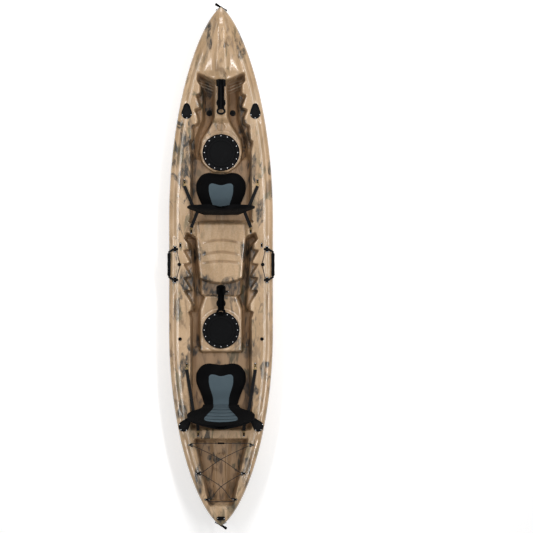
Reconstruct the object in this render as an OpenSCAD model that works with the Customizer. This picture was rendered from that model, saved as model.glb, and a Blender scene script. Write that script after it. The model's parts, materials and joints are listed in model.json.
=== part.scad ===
// Tandem sit-on-top kayak. Millimetres, bow towards +Y, starboard towards +X, resting on its keel at z = 0.

/* [Hull plan] */
// Length of the closed fore deck, from the bow tip to the front footwells
foredeck_len = 545; // [450:5:800]
// Length of the front footwell and seat well
front_well_len = 1110; // [1060:5:1300]
// Length of the deck bridge between the two wells
mid_bridge_len = 80; // [60:5:160]
// Length of the rear footwell and seat well
rear_well_len = 1495; // [1440:5:1700]
// Length of the deck bridge in front of the tank well
tank_bridge_len = 55; // [45:5:120]
// Length of the stern tank well
tank_well_len = 525; // [460:5:700]
// Length of the aft deck, from the tank well to the stern tip
aft_deck_len = 140; // [120:5:300]
// Widest beam at the gunwale
beam = 800; // [770:5:900]
// Length over which the bow narrows
bow_taper = 1615; // [1200:5:1900]
// Fullness of the bow, lower is blunter
bow_fullness = 0.69; // [0.55:0.01:0.85]
// Length over which the stern narrows
stern_taper = 1472; // [1100:5:1900]
// Fullness of the stern, lower is blunter
stern_fullness = 0.67; // [0.55:0.01:0.85]

/* [Hull section] */
// Height of the rails amidships
rail_z = 290; // [270:5:340]
// Rise of the rails at the bow tip
bow_rise = 95; // [40:5:160]
// Rise of the rails at the stern tip
stern_rise = 72; // [30:5:140]
// Half length of the flat keel run
keel_flat = 1000; // [600:10:1200]
// Rocker of the keel line at the bow
bow_rocker = 95; // [40:5:120]
// Rocker of the keel line at the stern
stern_rocker = 85; // [40:5:120]
// Length of the curved stem at each end
stem_len = 330; // [200:5:420]
// Extra rise of the keel line along each stem
stem_rise = 150; // [80:5:170]
// Height of the two tunnels beside the keel
tunnel_h = 16; // [6:1:24]
// Half width of the flat keel strip
keel_half = 32; // [20:1:45]
// Width of the rounded gunwale roll
roll_w = 36; // [20:1:50]
// Height of the rounded gunwale roll
roll_h = 40; // [24:1:60]
// Wall thickness of the moulded shell
wall = 5; // [4:0.5:7]

/* [Deck levels] */
// Height of the footwell floors
foot_z = 110; // [90:5:125]
// Height of the moulded foot step shelves
shelf_z = 222; // [190:2:240]
// Height of the seat floors
seat_z = 140; // [120:5:160]
// Height of the front console under the rod rest
console_z = 240; // [225:5:260]
// Height of the flats that carry the hatches
hatch_z = 205; // [190:5:215]
// Height of the moulded middle platform
platform_z = 215; // [190:5:240]
// Height of the trough behind the middle platform
trough_z = 150; // [130:5:180]
// Height of the tank well floor
tank_z = 175; // [150:5:200]
// Crown of the fore deck and the aft deck
deck_crown = 42; // [10:1:60]
// Run of the moulded walls
wall_run = 18; // [12:1:24]
// Run of the end walls of each well
end_run = 40; // [25:1:55]

/* [Hatches and rod holders] */
// Outer diameter of each hatch rim
hatch_d = 285; // [270:1:295]
// Diameter of the hole in the deck under each hatch
hatch_hole_d = 236; // [226:1:240]
// Bore of the flush rod tubes
rod_bore_d = 41; // [38:0.5:43]
// Depth of the flush rod tubes
rod_depth = 165; // [120:5:175]
// Lean of the flush rod tubes from upright
rod_lean = 17; // [10:1:20]
// Length of the rod rest posts
post_h = 40; // [36:1:60]
// Upward tilt of the front rod rest
front_rest_tilt = 14; // [10:1:30]
// Upward tilt of the rear rod rest
rear_rest_tilt = 35; // [20:1:45]

/* [Seats] */
// Widest part of each seat pad
pad_w = 384; // [340:2:400]
// Length of each seat pad
pad_len = 316; // [300:2:330]
// Thickness of each seat pad at its crown
pad_h = 46; // [36:1:60]
// Widest part of each backrest
back_w = 516; // [440:2:540]
// Height of each backrest
back_h = 395; // [340:5:420]
// Thickness of each backrest
back_t = 36; // [26:1:44]
// Lean of the front backrest, forward is negative
front_lean = -5; // [-8:1:8]
// Lean of the rear backrest
rear_lean = 22; // [10:1:26]
// Width of the strap webbing
strap_w = 25; // [20:1:30]

/* [Cords and handles] */
// Diameter of the shock cord
cord_d = 5; // [4:0.5:5]
// Length of the bow and stern toggle grips
toggle_len = 105; // [90:1:120]
// Diameter of the bow and stern toggle grips
toggle_d = 21; // [18:1:26]
// Length of the side carry grips
grip_len = 175; // [150:1:190]
// Diameter of the side carry grips
grip_d = 26; // [22:1:28]
// Bore of the scupper holes
scupper_d = 36; // [28:1:40]

/* [Hidden] */
hull_len = foredeck_len + front_well_len + mid_bridge_len + rear_well_len + tank_bridge_len
    + tank_well_len + aft_deck_len;
half_len = hull_len / 2;
half_beam = beam / 2;
// The shell is thicker where the deck is folded into walls
deck_wall = wall + 3;
// Rise of the tank well floor along its centre
tank_rise = 12;
// Clearance under a fitting that sits on the deck
seat_gap = 0.4;
// Running clearance round a pin
pin_gap = 0.06;

// Zone edges along the hull, from the bow to the stern
front_well_bow = half_len - foredeck_len;
front_well_aft = front_well_bow - front_well_len;
rear_well_bow = front_well_aft - mid_bridge_len;
rear_well_aft = rear_well_bow - rear_well_len;
tank_bow = rear_well_aft - tank_bridge_len;
tank_aft = tank_bow - tank_well_len;

// Hatches and the moulded consoles that carry them
hatch_flat = 157;
hatch_end = 144;
pedestal_run = 10;
hatch_mid = 90;
front_hatch_y = front_well_aft + 558;
rear_hatch_y = rear_well_aft + 765;
front_slope_run = 50;
front_slope_aft = front_hatch_y + 222;
front_slope_bow = front_slope_aft + front_slope_run;
console_end_run = 24;

// Middle platform, with the trough behind it
trough_run = 22;
platform_aft = rear_hatch_y + 405;
trough_bow = platform_aft - trough_run;
trough_aft = rear_hatch_y + 275;
rear_console_bow = trough_aft - trough_run;

// Foot steps: slanted notches in the outer wall of each footwell
step_pitch = 110;
step_count = 4;
step_slant = 0.44;
step_rise = 0.6;
step_fall = 0.84;
// Flat of the side rail kept outside the deepest foot step
rail_margin = 8;
// Outer limit of the side rail as a part of the deck half width
rail_part = 0.965;
step_fade = 60;
front_step_aft = front_well_bow - 580;
rear_step_bow = rear_well_bow - 120;
rear_step_aft = rear_step_bow - step_count * step_pitch;
seat_step_run = 40;
front_seat_step = front_step_aft - 10;
rear_seat_step = rear_hatch_y - 110;

function smooth(a, b, v) = let (t = max(0, min(1, (v - a) / (b - a)))) t * t * (3 - 2 * t);
function mix(a, b, t) = a + (b - a) * t;
// A step that is 0 forward of hi and 1 aft of lo
function aft_of(y, hi, lo) = 1 - smooth(lo, hi, y);
// A window that is 1 between lo and hi, with walls of a given run
function window(y, lo, hi, run) = smooth(lo, lo + run, y) * (1 - smooth(hi - run, hi, y));

// Half width, rail height and keel height along the hull
function half_width(y) = let (
        t = y > 0 ? min(1, (half_len - y) / bow_taper) : min(1, (half_len + y) / stern_taper),
        p = y > 0 ? bow_fullness : stern_fullness)
    half_beam * pow(1 - pow(1 - t, 2), p);
function sheer(y) = rail_z + (y > 0 ? bow_rise : stern_rise) * pow(abs(y) / half_len, 2.4);
function end_part(y) = max(0, (abs(y) - keel_flat) / (half_len - keel_flat));
function stem_part(y) = max(0, (abs(y) - half_len + stem_len) / stem_len);
function keel(y) = (y > 0 ? bow_rocker : stern_rocker) * pow(end_part(y), 2)
    + stem_rise * pow(stem_part(y), 3);

// Half widths of the console, of the foot channel and of the wells, as [place along the hull, half width]
console_plan = [
    [-half_len, 8],
    [tank_aft, 26],
    [tank_bow, 62],
    [rear_well_aft, 130],
    [rear_hatch_y - hatch_flat - console_end_run, 135],
    [rear_hatch_y - hatch_flat, 152],
    [rear_hatch_y + hatch_flat, 152],
    [rear_console_bow, 118],
    [trough_aft, 150],
    [trough_bow, 150],
    [platform_aft, 160],
    [rear_well_bow, 192],
    [front_well_aft, 192],
    [front_well_aft + end_run, 150],
    [front_hatch_y - hatch_end - pedestal_run, 52],
    [front_hatch_y - hatch_end, 52],
    [front_hatch_y - 115, 100],
    [front_hatch_y - 70, 136],
    [front_hatch_y, 152],
    [front_hatch_y + hatch_mid, 142],
    [front_slope_aft, 64],
    [front_slope_bow, 46],
    [front_well_bow, 46],
    [half_len, 14]];
channel_plan = [
    [-half_len, 12],
    [tank_aft, 50],
    [tank_bow, 170],
    [rear_well_aft, 194],
    [rear_step_aft, 186],
    [rear_step_bow, 212],
    [rear_well_bow, 216],
    [front_well_aft, 216],
    [front_well_aft + end_run, 194],
    [front_step_aft, 194],
    [front_hatch_y + hatch_mid, 182],
    [front_slope_aft, 126],
    [front_well_bow, 118],
    [half_len, 20]];
well_plan = [
    [-half_len, 20],
    [tank_aft, 76],
    [tank_bow, 216],
    [rear_well_aft, 236],
    [rear_step_aft - 100, 236],
    [rear_step_aft, half_beam - 108],
    [rear_step_bow, half_beam - 104],
    [rear_well_bow, half_beam - 134],
    [front_well_aft, 240],
    [front_step_aft - 50, 236],
    [front_step_aft, 262],
    [front_slope_aft, 212],
    [front_well_bow, 180],
    [half_len, 30]];
plan_stations = [rear_step_aft - 100, rear_step_aft, rear_step_bow, rear_hatch_y + hatch_flat, front_step_aft,
    front_hatch_y + hatch_mid, front_hatch_y - 115, front_hatch_y - 70, rear_step_bow + 40,
    rear_step_bow - 20, rear_step_aft - step_fade,
    front_step_aft - step_fade];

// Depth of the foot notches along one row
function step_phase(y, aft) = (y - aft) / step_pitch - floor((y - aft) / step_pitch);
function notch(p) = min(1, p / step_rise) * (1 - smooth(step_rise, step_fall, p));
function in_steps(y, aft) = y > aft && y < aft + step_count * step_pitch;
function notch_at(y) = in_steps(y, rear_step_aft) ? notch(step_phase(y, rear_step_aft))
    : in_steps(y, front_step_aft) ? notch(step_phase(y, front_step_aft))
    : step_zone(y) > 0.01 ? 0 : 1;
function step_zone(y) = window(y, rear_step_aft - step_fade, rear_step_bow + 40, step_fade)
    + window(y, front_step_aft - step_fade, front_step_aft + step_count * step_pitch + step_fade,
        step_fade);
function slant(y) = step_slant * (window(y, rear_step_aft - 240, rear_well_bow + 200, 240)
    + window(y, front_step_aft - 200, front_well_bow + 260, 240));

// How far the wells and the centre of the deck are open, and the levels of their floors
function well_open(y) = window(y, front_well_aft, front_well_bow, end_run)
    + window(y, rear_well_aft, rear_well_bow, end_run)
    + window(y, tank_aft, tank_bow, end_run);
function centre_open(y) = window(y, rear_well_aft, front_well_bow, end_run)
    + window(y, tank_aft, tank_bow, end_run);
function floor_level(y) = foot_z
    + (seat_z - foot_z) * aft_of(y, front_seat_step, front_seat_step - seat_step_run)
    + (foot_z - seat_z) * aft_of(y, front_well_aft - 10, rear_well_bow + 10)
    + (seat_z - foot_z) * aft_of(y, rear_seat_step, rear_seat_step - seat_step_run)
    + (tank_z - seat_z) * aft_of(y, rear_well_aft - 5, tank_bow + 5);
function centre_level(y) = console_z
    + (hatch_z - console_z) * aft_of(y, front_slope_bow, front_slope_aft)
    + (seat_z - hatch_z) * aft_of(y, front_hatch_y - hatch_end, front_hatch_y - hatch_end - pedestal_run)
    + (platform_z - seat_z) * aft_of(y, front_well_aft + end_run, front_well_aft)
    + (trough_z - platform_z) * aft_of(y, platform_aft, trough_bow)
    + (hatch_z - trough_z) * aft_of(y, trough_aft, rear_console_bow)
    + (seat_z - hatch_z) * aft_of(y, rear_hatch_y - hatch_flat, rear_hatch_y - hatch_flat - console_end_run)
    + (tank_z + tank_rise - seat_z) * aft_of(y, rear_well_aft - 5, tank_bow + 5);
// The crowned fore deck and the rib along its centre
function crown(y) = deck_crown * smooth(front_well_bow - 120, front_well_bow + 160, y)
    * min(1, half_width(y) / 120);
function deck_base(x, y, x0) = sheer(y) + crown(y) * (1 - pow(min(1, x / x0), 2));
function rib(y) = 12 * smooth(front_well_bow - 20, front_well_bow + 90, y)
    * (1 - smooth(half_len - 330, half_len - 170, y));

// The half section of the deck at station y, from the gunwale to the centreline
function deck_half(y) = let (
        w = half_width(y),
        roll = min(roll_w, 0.35 * w),
        x0 = w - roll,
        rin = lookup(y, channel_plan),
        rmin = rin + 2 * wall_run + 6,
        rout = max(lookup(y, well_plan), rmin),
        r = mix(rmin, rout, notch_at(y)),
        c = lookup(y, console_plan),
        xm = min(rout + rail_margin, rail_part * x0),
        x1 = min(r, 0.93 * x0),
        x2 = min(r - wall_run, 0.86 * x0),
        x3 = min(rin + wall_run, 0.78 * x0),
        x4 = min(rin, 0.70 * x0),
        xl = mix(x1, x2, 0.3),
        x5 = min(c + wall_run, 0.62 * x0, 0.93 * x4),
        x6 = min(c, 0.55 * x0, 0.93 * x5),
        zs = sheer(y),
        open = well_open(y),
        zf = floor_level(y),
        zl = mix(zf, min(shelf_z, zs), step_zone(y)),
        tilt = slant(y),
        lean = function(x) tilt * max(0, x - c),
        base = function(x) deck_base(x, y + lean(x), x0),
        zc = mix(base(0) + rib(y), centre_level(y), centre_open(y)))
    concat(
        [for (a = [0, 35, 65]) [w - roll * (1 - cos(a)), y, zs - roll_h * (1 - sin(a))]],
        [[x0, y, deck_base(x0, y, x0)]],
        [[xm, y + lean(xm), base(xm)]],
        [[x1, y + lean(x1), base(x1)]],
        [[xl, y + lean(xl), mix(base(x1), mix(base(x2), zl, open), 0.2)]],
        [[x2, y + lean(x2), mix(base(x2), zl, open)]],
        [[x3, y + lean(x3), mix(base(x3), zl, open)]],
        [[x4, y + lean(x4), mix(base(x4), zf, open)]],
        [[x5, y + lean(x5), mix(base(x5), zf, open)]],
        [[x6, y, zc]],
        [[0, y, zc]]);

// The half section of the bottom at station y, from the keel to the gunwale
bilge_arc = [18, 36, 54, 72];
function bottom_half(y) = let (
        w = half_width(y),
        e = pow(end_part(y), 1.4),
        zk = keel(y),
        zg = sheer(y) - roll_h,
        f = mix(0.56, 0.2, e),
        q = 2 / mix(2.8, 1.35, e),
        kw = min(keel_half, 0.1 * w),
        tun = tunnel_h * (1 - e))
    concat(
        [[0, y, zk]],
        [[kw, y, zk]],
        [[mix(kw, 0.78 * f * w, 0.5), y, zk + tun]],
        [[0.78 * f * w, y, zk]],
        [[f * w, y, zk]],
        [for (a = bilge_arc) [w * (f + (1 - f) * pow(sin(a), q)), y, zk + (zg - zk) * (1 - pow(cos(a), q))]]);

function port(p) = [-p[0], p[1], p[2]];
// A closed ring of points round one station, without repeats on the centreline
function ring(y) = let (
        half = concat(bottom_half(y), deck_half(y)),
        n = len(half))
    concat(half, [for (i = [n - 2 : -1 : 1]) port(half[i])]);

function sorted(v) = len(v) < 2 ? v
    : let (p = v[floor(len(v) / 2)])
        concat(sorted([for (x = v) if (x < p) x]), [p], sorted([for (x = v) if (x > p) x]));
function spaced(v, gap) = [for (i = [0 : len(v) - 1]) if (i == 0 || v[i] - v[i - 1] > gap) v[i]];

// Stations along the hull: close together at the tips, the end walls and the foot steps
edges = [for (e = [
            [front_well_bow, -end_run],
            [front_well_aft, end_run],
            [rear_well_bow, -end_run],
            [rear_well_aft, end_run],
            [tank_bow, -end_run],
            [tank_aft, end_run],
            [front_seat_step, -seat_step_run],
            [rear_seat_step, -seat_step_run],
            [front_slope_bow, -front_slope_run],
            [front_hatch_y - hatch_end, -pedestal_run],
            [platform_aft, -trough_run],
            [trough_aft, -trough_run],
            [rear_hatch_y - hatch_flat, -console_end_run]])
        for (t = [0, 1]) e[0] + t * e[1]];
function notches(aft) = [for (i = [0 : step_count - 1]) for (p = [0.001, step_rise, step_fall])
    aft + (i + p) * step_pitch];
tips = [for (s = [2, 16, 40, 80, 140, 220, 320, 430]) for (d = [-1, 1]) d * (half_len - s)];
end_walls = [front_well_bow - end_run / 2, front_well_aft + end_run / 2, rear_well_bow - end_run / 2,
    rear_well_aft + end_run / 2, tank_bow - end_run / 2, tank_aft + end_run / 2];
// Filler stations that keep clear of the ones that matter
function fillers(n, keep) = [for (i = [1 : n - 1])
    let (y = mix(tank_aft, front_well_bow, i / n)) if (min([for (k = keep) abs(k - y)]) > 36) y];
function all_stations(keep, n) = spaced(sorted(concat(keep, fillers(n, keep))), 4);
outer_stations = all_stations(concat(tips, edges, end_walls, plan_stations, notches(rear_step_aft),
    notches(front_step_aft)), 26);

// The hollow in the hull runs under the well floors, and up under the fore deck past this place
hollow_rise = front_well_bow + 75;
hollow_stations = [tank_aft + 50, -1560, tank_bow - 10, tank_bow + 20, -1000, -600, 0, 600, 1000, 1300,
    front_well_bow - 30, hollow_rise - 12, hollow_rise + 12, 1620, 1750, half_len - 95];
function hollow_roof(y) = y > hollow_rise ? sheer(y) - 3 * deck_wall
    : (y < tank_bow ? tank_z : foot_z) - deck_wall;
function side_x(y, z) = let (
        w = half_width(y),
        e = pow(end_part(y), 1.4),
        zk = keel(y),
        f = mix(0.56, 0.2, e),
        q = 2 / mix(2.8, 1.35, e),
        a = acos(pow(max(0, 1 - (z - zk) / (sheer(y) - roll_h - zk)), 1 / q)))
    w * (f + (1 - f) * pow(sin(a), q));
function hollow_ring(y) = let (
        low = keel(y) + tunnel_h + wall,
        top = hollow_roof(y),
        mid = top - 3 * deck_wall,
        half = [[side_x(y, low) - 2 * wall, y, low],
            [side_x(y, mid) - 2 * wall, y, mid],
            [0.7 * (side_x(y, mid) - 2 * wall), y, top]])
    concat(half, [for (i = [2 : -1 : 0]) port(half[i])]);

// A closed solid through a row of rings, capped at both ends
function mid_point(r) = [for (k = [0 : 2]) [for (p = r) p[k]] * [for (p = r) 1 / len(r)]];
module loft(rings) {
    n = len(rings[0]);
    last = len(rings) - 1;
    points = concat([for (r = rings) for (p = r) p], [mid_point(rings[0]), mid_point(rings[last])]);
    tail = (last + 1) * n;
    sides = [for (i = [0 : last - 1]) for (j = [0 : n - 1])
        let (a = i * n + j, b = i * n + (j + 1) % n) each [[a, b, a + n], [b, b + n, a + n]]];
    caps = [for (j = [0 : n - 1]) each [[tail, (j + 1) % n, j],
        [tail + 1, last * n + j, last * n + (j + 1) % n]]];
    polyhedron(points, concat(sides, caps), convexity = 10);
}

// Places and sizes of the fittings
hatch_rim_r = hatch_d / 2;
hatch_hole_r = hatch_hole_d / 2;
hatch_collar_r = hatch_hole_r - 3;
hatch_clear_r = hatch_hole_r - 17;
hatch_seat_r = hatch_hole_r - 5.5;
hatch_screw_r = (hatch_seat_r + hatch_rim_r) / 2 + 1;
hatch_screw_count = 16;
rim_t = 9;
rim_ledge = 2;
rod_bore_r = rod_bore_d / 2;
rod_tube_r = rod_bore_r + 2.5;
rod_flange_t = 5;
rod_hinge = [0, 50, 10];
rod_screws = [[-34, -22], [34, -22], [0, -46]];
front_rod_x = 262;
front_rod_y = front_well_bow - 248;
rear_rod_x = 277;
rear_rod_y = rear_well_aft + 42;
rear_rod_turn = 40;
front_rest_y = front_well_bow - 172;
rear_rest_y = rear_console_bow - 47;
rest_pivot = post_h + 36;
rest_bolt_r = 4;
ear_in = 13;
ear_out = 19;
eye_base_t = 4;
eye_r = 8.5;
eye_wire = 2.5;
eye_screw = 15;
eye_hole = 7;
eye_turn = 90;
hook_r = 8;
hook_wire = 2;
hook_bar = 30;
front_back_y = front_well_aft + 83;
rear_back_y = rear_seat_step - 471;
back_hinge_z = seat_z + 28;
front_side_eye = [280, front_back_y + 247];
front_back_eye = [228, front_well_aft - 50];
rear_side_eye = [262, rear_back_y + 315];
rear_back_eye = [175, rear_well_aft - 28];
middle_eye = [half_beam - 88, rear_well_bow - 77];
trough_eye = [42, trough_aft + 21];
tank_eye_y = [tank_bow - 54, tank_bow - 271, tank_bow - 468];
handle_mid_y = rear_step_bow - 105;
handle_pin_x = half_beam - 48;
handle_pin_z = 9;
handle_reach = 46;
handle_half = 118;
button_x = half_beam - 80;
deck_button = [half_beam - 87, rear_hatch_y - 65];
stem_hole_in = 18;
stem_hole_r = cord_d / 2 + 0.8;
stem_hole_drop = 85;
toggle_reach = 62;
toggle_droop = 58;
toggle_roll = 35;
toggle_cord_r = 3;
drain_in = 54;
drain_r = 9;
scupper_r = scupper_d / 2;
scupper = [91, front_slope_aft + 89];
recess_y = front_slope_aft - 42;
recess_r = 32;

// Set a fitting on the rail at a place, square to its slope
function rail_slope(y) = (sheer(y + 1) - sheer(y - 1)) / 2;
module on_rail(x, y) {
    translate([x, y, sheer(y) + seat_gap])
        rotate([atan(rail_slope(y)), 0, 0])
            children();
}
module screw(t, r) {
    translate([0, 0, t])
        cylinder(h = 2, r1 = 1.8 * r, r2 = 1.4 * r, $fn = 16);
    translate([0, 0, 0.3])
        cylinder(h = t, r = r, $fn = 16);
}
module bore(r) {
    translate([0, 0, -60])
        cylinder(h = 120, r = r + 0.1, $fn = 16);
}
// Rings of a round cord along a row of points
function unit(v) = v / norm(v);
function along(pts, i) = unit(pts[min(i + 1, len(pts) - 1)] - pts[max(i - 1, 0)]);
function sideways(t) = unit(cross(t, [0, 0, 1]));
function cord_rings(pts, r, n) = [for (i = [0 : len(pts) - 1])
    let (t = along(pts, i), s = sideways(t), u = cross(s, t))
        [for (k = [0 : n - 1]) pts[i] + r * (cos(360 * k / n) * s + sin(360 * k / n) * u)]];
module cord(pts, r) {
    loft(cord_rings(pts, r, 8));
}
module ring_of_wire(r, wire) {
    rotate_extrude($fn = 32)
        translate([r, 0])
            circle(wire, $fn = 12);
}

// Hull: one hollow moulded shell with scupper tubes, hatch holes, rod tube holes, stem holes and a drain hole
module hull_outside() {
    loft([for (y = outer_stations) ring(y)]);
}
module hull_inside() {
    difference() {
        loft([for (y = hollow_stations) hollow_ring(y)]);
        for (side = [-1, 1])
            translate([side * scupper[0], scupper[1], 0])
                cylinder(h = foot_z, r = scupper_r + wall, $fn = 32);
    }
    for (y = [front_hatch_y, rear_hatch_y])
        translate([0, y, tunnel_h + 2 * wall])
            cylinder(h = hatch_z, r = hatch_hole_r, $fn = 64);
}
module stem_holes() {
    for (d = [-1, 1])
        translate([-half_beam, d * (half_len - stem_hole_in), sheer(d * half_len) - stem_hole_drop])
            rotate([0, 90, 0])
                cylinder(h = beam, r = stem_hole_r, $fn = 24);
}
module hull_shell() {
    color("tan")
        difference() {
            hull_outside();
            hull_inside();
            for (side = [-1, 1]) {
                on_rail(side * front_rod_x, front_rod_y)
                    rod_hole();
                on_rail(side * rear_rod_x, rear_rod_y)
                    rod_hole();
                translate([side * scupper[0], scupper[1], -10])
                    cylinder(h = foot_z + 20, r = scupper_r, $fn = 32);
            }
            stem_holes();
            on_rail(0, drain_in - half_len)
                translate([0, 0, -60])
                    cylinder(h = 80, r = drain_r + 2, $fn = 32);
            translate([0, recess_y, hatch_z - 3])
                cylinder(h = 10, r = recess_r, $fn = 48);
        }
}
module rod_hole() {
    rotate([rod_lean, 0, 0])
        translate([0, 0, -rod_depth - 5])
            cylinder(h = rod_depth + 45, r = rod_tube_r + 1, $fn = 32);
}

// Hatches: a screwed rim, a seal on its ledge, and a lid that twists off and lifts away
module hatch_screw_circle() {
    for (i = [0 : hatch_screw_count - 1])
        rotate(i * 360 / hatch_screw_count)
            translate([hatch_screw_r, 0, 0])
                children();
}
module hatch_rim(y) {
    color("dimgray")
        translate([0, y, hatch_z + seat_gap])
            difference() {
                rotate_extrude($fn = 96)
                    polygon([[hatch_clear_r, -24], [hatch_collar_r, -24], [hatch_collar_r, 0],
                        [hatch_rim_r, 0],
                        [hatch_rim_r, rim_t - 5], [hatch_rim_r - 5, rim_t], [hatch_seat_r, rim_t],
                        [hatch_seat_r, rim_ledge], [hatch_clear_r, rim_ledge]]);
                hatch_screw_circle()
                    bore(2);
            }
}
module front_hatch_rim() {
    hatch_rim(front_hatch_y);
}
module rear_hatch_rim() {
    hatch_rim(rear_hatch_y);
}
module hatch_screws() {
    color("silver")
        for (y = [front_hatch_y, rear_hatch_y])
            translate([0, y, hatch_z + seat_gap])
                hatch_screw_circle()
                    screw(rim_t, 2);
}
module hatch_gasket(y) {
    color("black")
        translate([0, y, hatch_z + seat_gap + rim_ledge])
            rotate_extrude($fn = 96)
                polygon([[hatch_clear_r + 1.5, 0.1], [hatch_seat_r - 2, 0.1], [hatch_seat_r - 2, 2.4],
                    [hatch_clear_r + 1.5, 2.4]]);
}
module front_hatch_gasket() {
    hatch_gasket(front_hatch_y);
}
module rear_hatch_gasket() {
    hatch_gasket(rear_hatch_y);
}
module hatch_lid(y) {
    lid_r = hatch_seat_r - 0.7;
    skirt_r = hatch_clear_r - 0.5;
    color("black")
        translate([0, y, hatch_z + seat_gap + rim_ledge + 2.5])
            difference() {
                rotate_extrude($fn = 96)
                    polygon([[0, 0], [skirt_r - 6, 0], [skirt_r - 6, -18], [skirt_r, -18], [skirt_r, 0],
                        [lid_r, 0],
                        [lid_r, 5], [lid_r - 3, 7.5], [lid_r - 22, 7.5], [lid_r - 25, 5.5], [0, 5.5]]);
                for (a = [30, 150])
                    rotate(a)
                        translate([lid_r - 12, 0, 6])
                            cylinder(h = 4, r = 5, $fn = 24);
            }
}
module front_hatch_lid() {
    hatch_lid(front_hatch_y);
}
module rear_hatch_lid() {
    hatch_lid(rear_hatch_y);
}

// Flush rod tubes: an egg-shaped flange with a leaning tube, and a rubber cap on a hinge pin
module egg(wide, wide_y, narrow, narrow_y) {
    hull() {
        translate([0, wide_y])
            circle(wide, $fn = 48);
        translate([0, narrow_y])
            circle(narrow, $fn = 32);
    }
}
// Thickness of a tube's closed end, and where its wider mouth begins below the rail
rod_floor = 4;
rod_mouth = 1.6;
module rod_tube(x, y, turn) {
    color("dimgray")
        on_rail(x, y) {
            difference() {
                union() {
                    rotate(turn)
                        linear_extrude(rod_flange_t)
                            egg(41, -12, 24, 42);
                    rotate([rod_lean, 0, 0])
                        translate([0, 0, -rod_depth])
                            cylinder(h = rod_depth + 20, r = rod_tube_r, $fn = 48);
                }
                rotate([rod_lean, 0, 0]) {
                    translate([0, 0, rod_floor - rod_depth])
                        cylinder(h = rod_depth + 60, r = rod_bore_r, $fn = 48);
                    translate([0, 0, -rod_mouth])
                        cylinder(h = 60, r = rod_bore_r + 1.2, $fn = 48);
                }
                translate([-80, -80, rod_flange_t])
                    cube([160, 160, 60]);
                rotate(turn)
                    for (p = rod_screws)
                        translate(p)
                            bore(2);
            }
            rotate(turn)
                translate(rod_hinge)
                    rod_hinge_lugs();
        }
}
module rod_hinge_lugs() {
    for (s = [-1, 1])
        translate([s * 10.5 - 2, -5, rod_flange_t - rod_hinge[2] - 0.5])
            cube([4, 10, 9]);
    translate([-12.5, 0, 0])
        rotate([0, 90, 0])
            cylinder(h = 25, r = 2, $fn = 24);
}
module bow_port_rod_tube() {
    rod_tube(-front_rod_x, front_rod_y, 0);
}
module bow_starboard_rod_tube() {
    rod_tube(front_rod_x, front_rod_y, 0);
}
module stern_port_rod_tube() {
    rod_tube(-rear_rod_x, rear_rod_y, -rear_rod_turn);
}
module stern_starboard_rod_tube() {
    rod_tube(rear_rod_x, rear_rod_y, rear_rod_turn);
}
module rod_tube_screws() {
    color("silver")
        for (t = [[-front_rod_x, front_rod_y, 0], [front_rod_x, front_rod_y, 0],
                [-rear_rod_x, rear_rod_y, -rear_rod_turn], [rear_rod_x, rear_rod_y, rear_rod_turn]])
            on_rail(t[0], t[1])
                rotate(t[2])
                    for (p = rod_screws)
                        translate(p)
                            screw(rod_flange_t, 2);
}
module rod_cap(x, y, turn) {
    color("black")
        on_rail(x, y)
            rotate(turn)
                difference() {
                    union() {
                        translate([0, 0, rod_flange_t + 0.3])
                            linear_extrude(4)
                                egg(31, -8, 9, 34);
                        translate([0, -8, rod_flange_t + 4])
                            cylinder(h = 4, r1 = 24, r2 = 19, $fn = 48);
                        translate([-8, 36, rod_flange_t + 0.8])
                            cube([16, 14, 3.5]);
                        translate(rod_hinge - [8, 0, 0])
                            rotate([0, 90, 0])
                                cylinder(h = 16, r = 4.5, $fn = 32);
                    }
                    translate(rod_hinge - [20, 0, 0])
                        rotate([0, 90, 0])
                            cylinder(h = 40, r = 2 + pin_gap, $fn = 24);
                }
}
module bow_port_rod_cap() {
    rod_cap(-front_rod_x, front_rod_y, 0);
}
module bow_starboard_rod_cap() {
    rod_cap(front_rod_x, front_rod_y, 0);
}
module stern_port_rod_cap() {
    rod_cap(-rear_rod_x, rear_rod_y, -rear_rod_turn);
}
module stern_starboard_rod_cap() {
    rod_cap(rear_rod_x, rear_rod_y, rear_rod_turn);
}

// Rod rests: a screwed base with a post, a swivel on the post, and an arm with a fork and a butt ring
module rod_base(y, z) {
    color("dimgray")
        translate([0, y, z + seat_gap])
            difference() {
                union() {
                    cylinder(h = 8, r = 36, $fn = 64);
                    cylinder(h = post_h, r = 18, $fn = 48);
                }
                translate([0, 0, 14])
                    cylinder(h = post_h, r = 8 + pin_gap, $fn = 32);
                for (a = [45 : 90 : 315])
                    rotate(a)
                        translate([28, 0, 0])
                            bore(2);
            }
}
module front_rod_base() {
    rod_base(front_rest_y, console_z);
}
module rear_rod_base() {
    rod_base(rear_rest_y, hatch_z);
}
module rod_base_screws() {
    color("silver")
        for (p = [[front_rest_y, console_z], [rear_rest_y, hatch_z]])
            for (a = [45 : 90 : 315])
                translate([0, p[0], p[1] + seat_gap])
                    rotate(a)
                        translate([28, 0, 0])
                            screw(8, 2);
}
module rest_swivel(y, z) {
    color("black")
        translate([0, y, z + seat_gap])
            difference() {
                union() {
                    translate([0, 0, 16])
                        cylinder(h = post_h - 12, r = 8, $fn = 32);
                    translate([0, 0, post_h + 0.3])
                        cylinder(h = 10, r = 19, $fn = 48);
                    for (s = [-1, 1]) {
                        translate([s * (ear_in + ear_out) / 2 - 3, -11, post_h + 5])
                            cube([6, 22, rest_pivot - post_h - 5]);
                        translate([s * (ear_in + ear_out) / 2 - 3, 0, rest_pivot])
                            rotate([0, 90, 0])
                                cylinder(h = 6, r = 11, $fn = 32);
                    }
                }
                translate([-30, 0, rest_pivot])
                    rotate([0, 90, 0])
                        cylinder(h = 60, r = rest_bolt_r + pin_gap, $fn = 24);
            }
}
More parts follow.
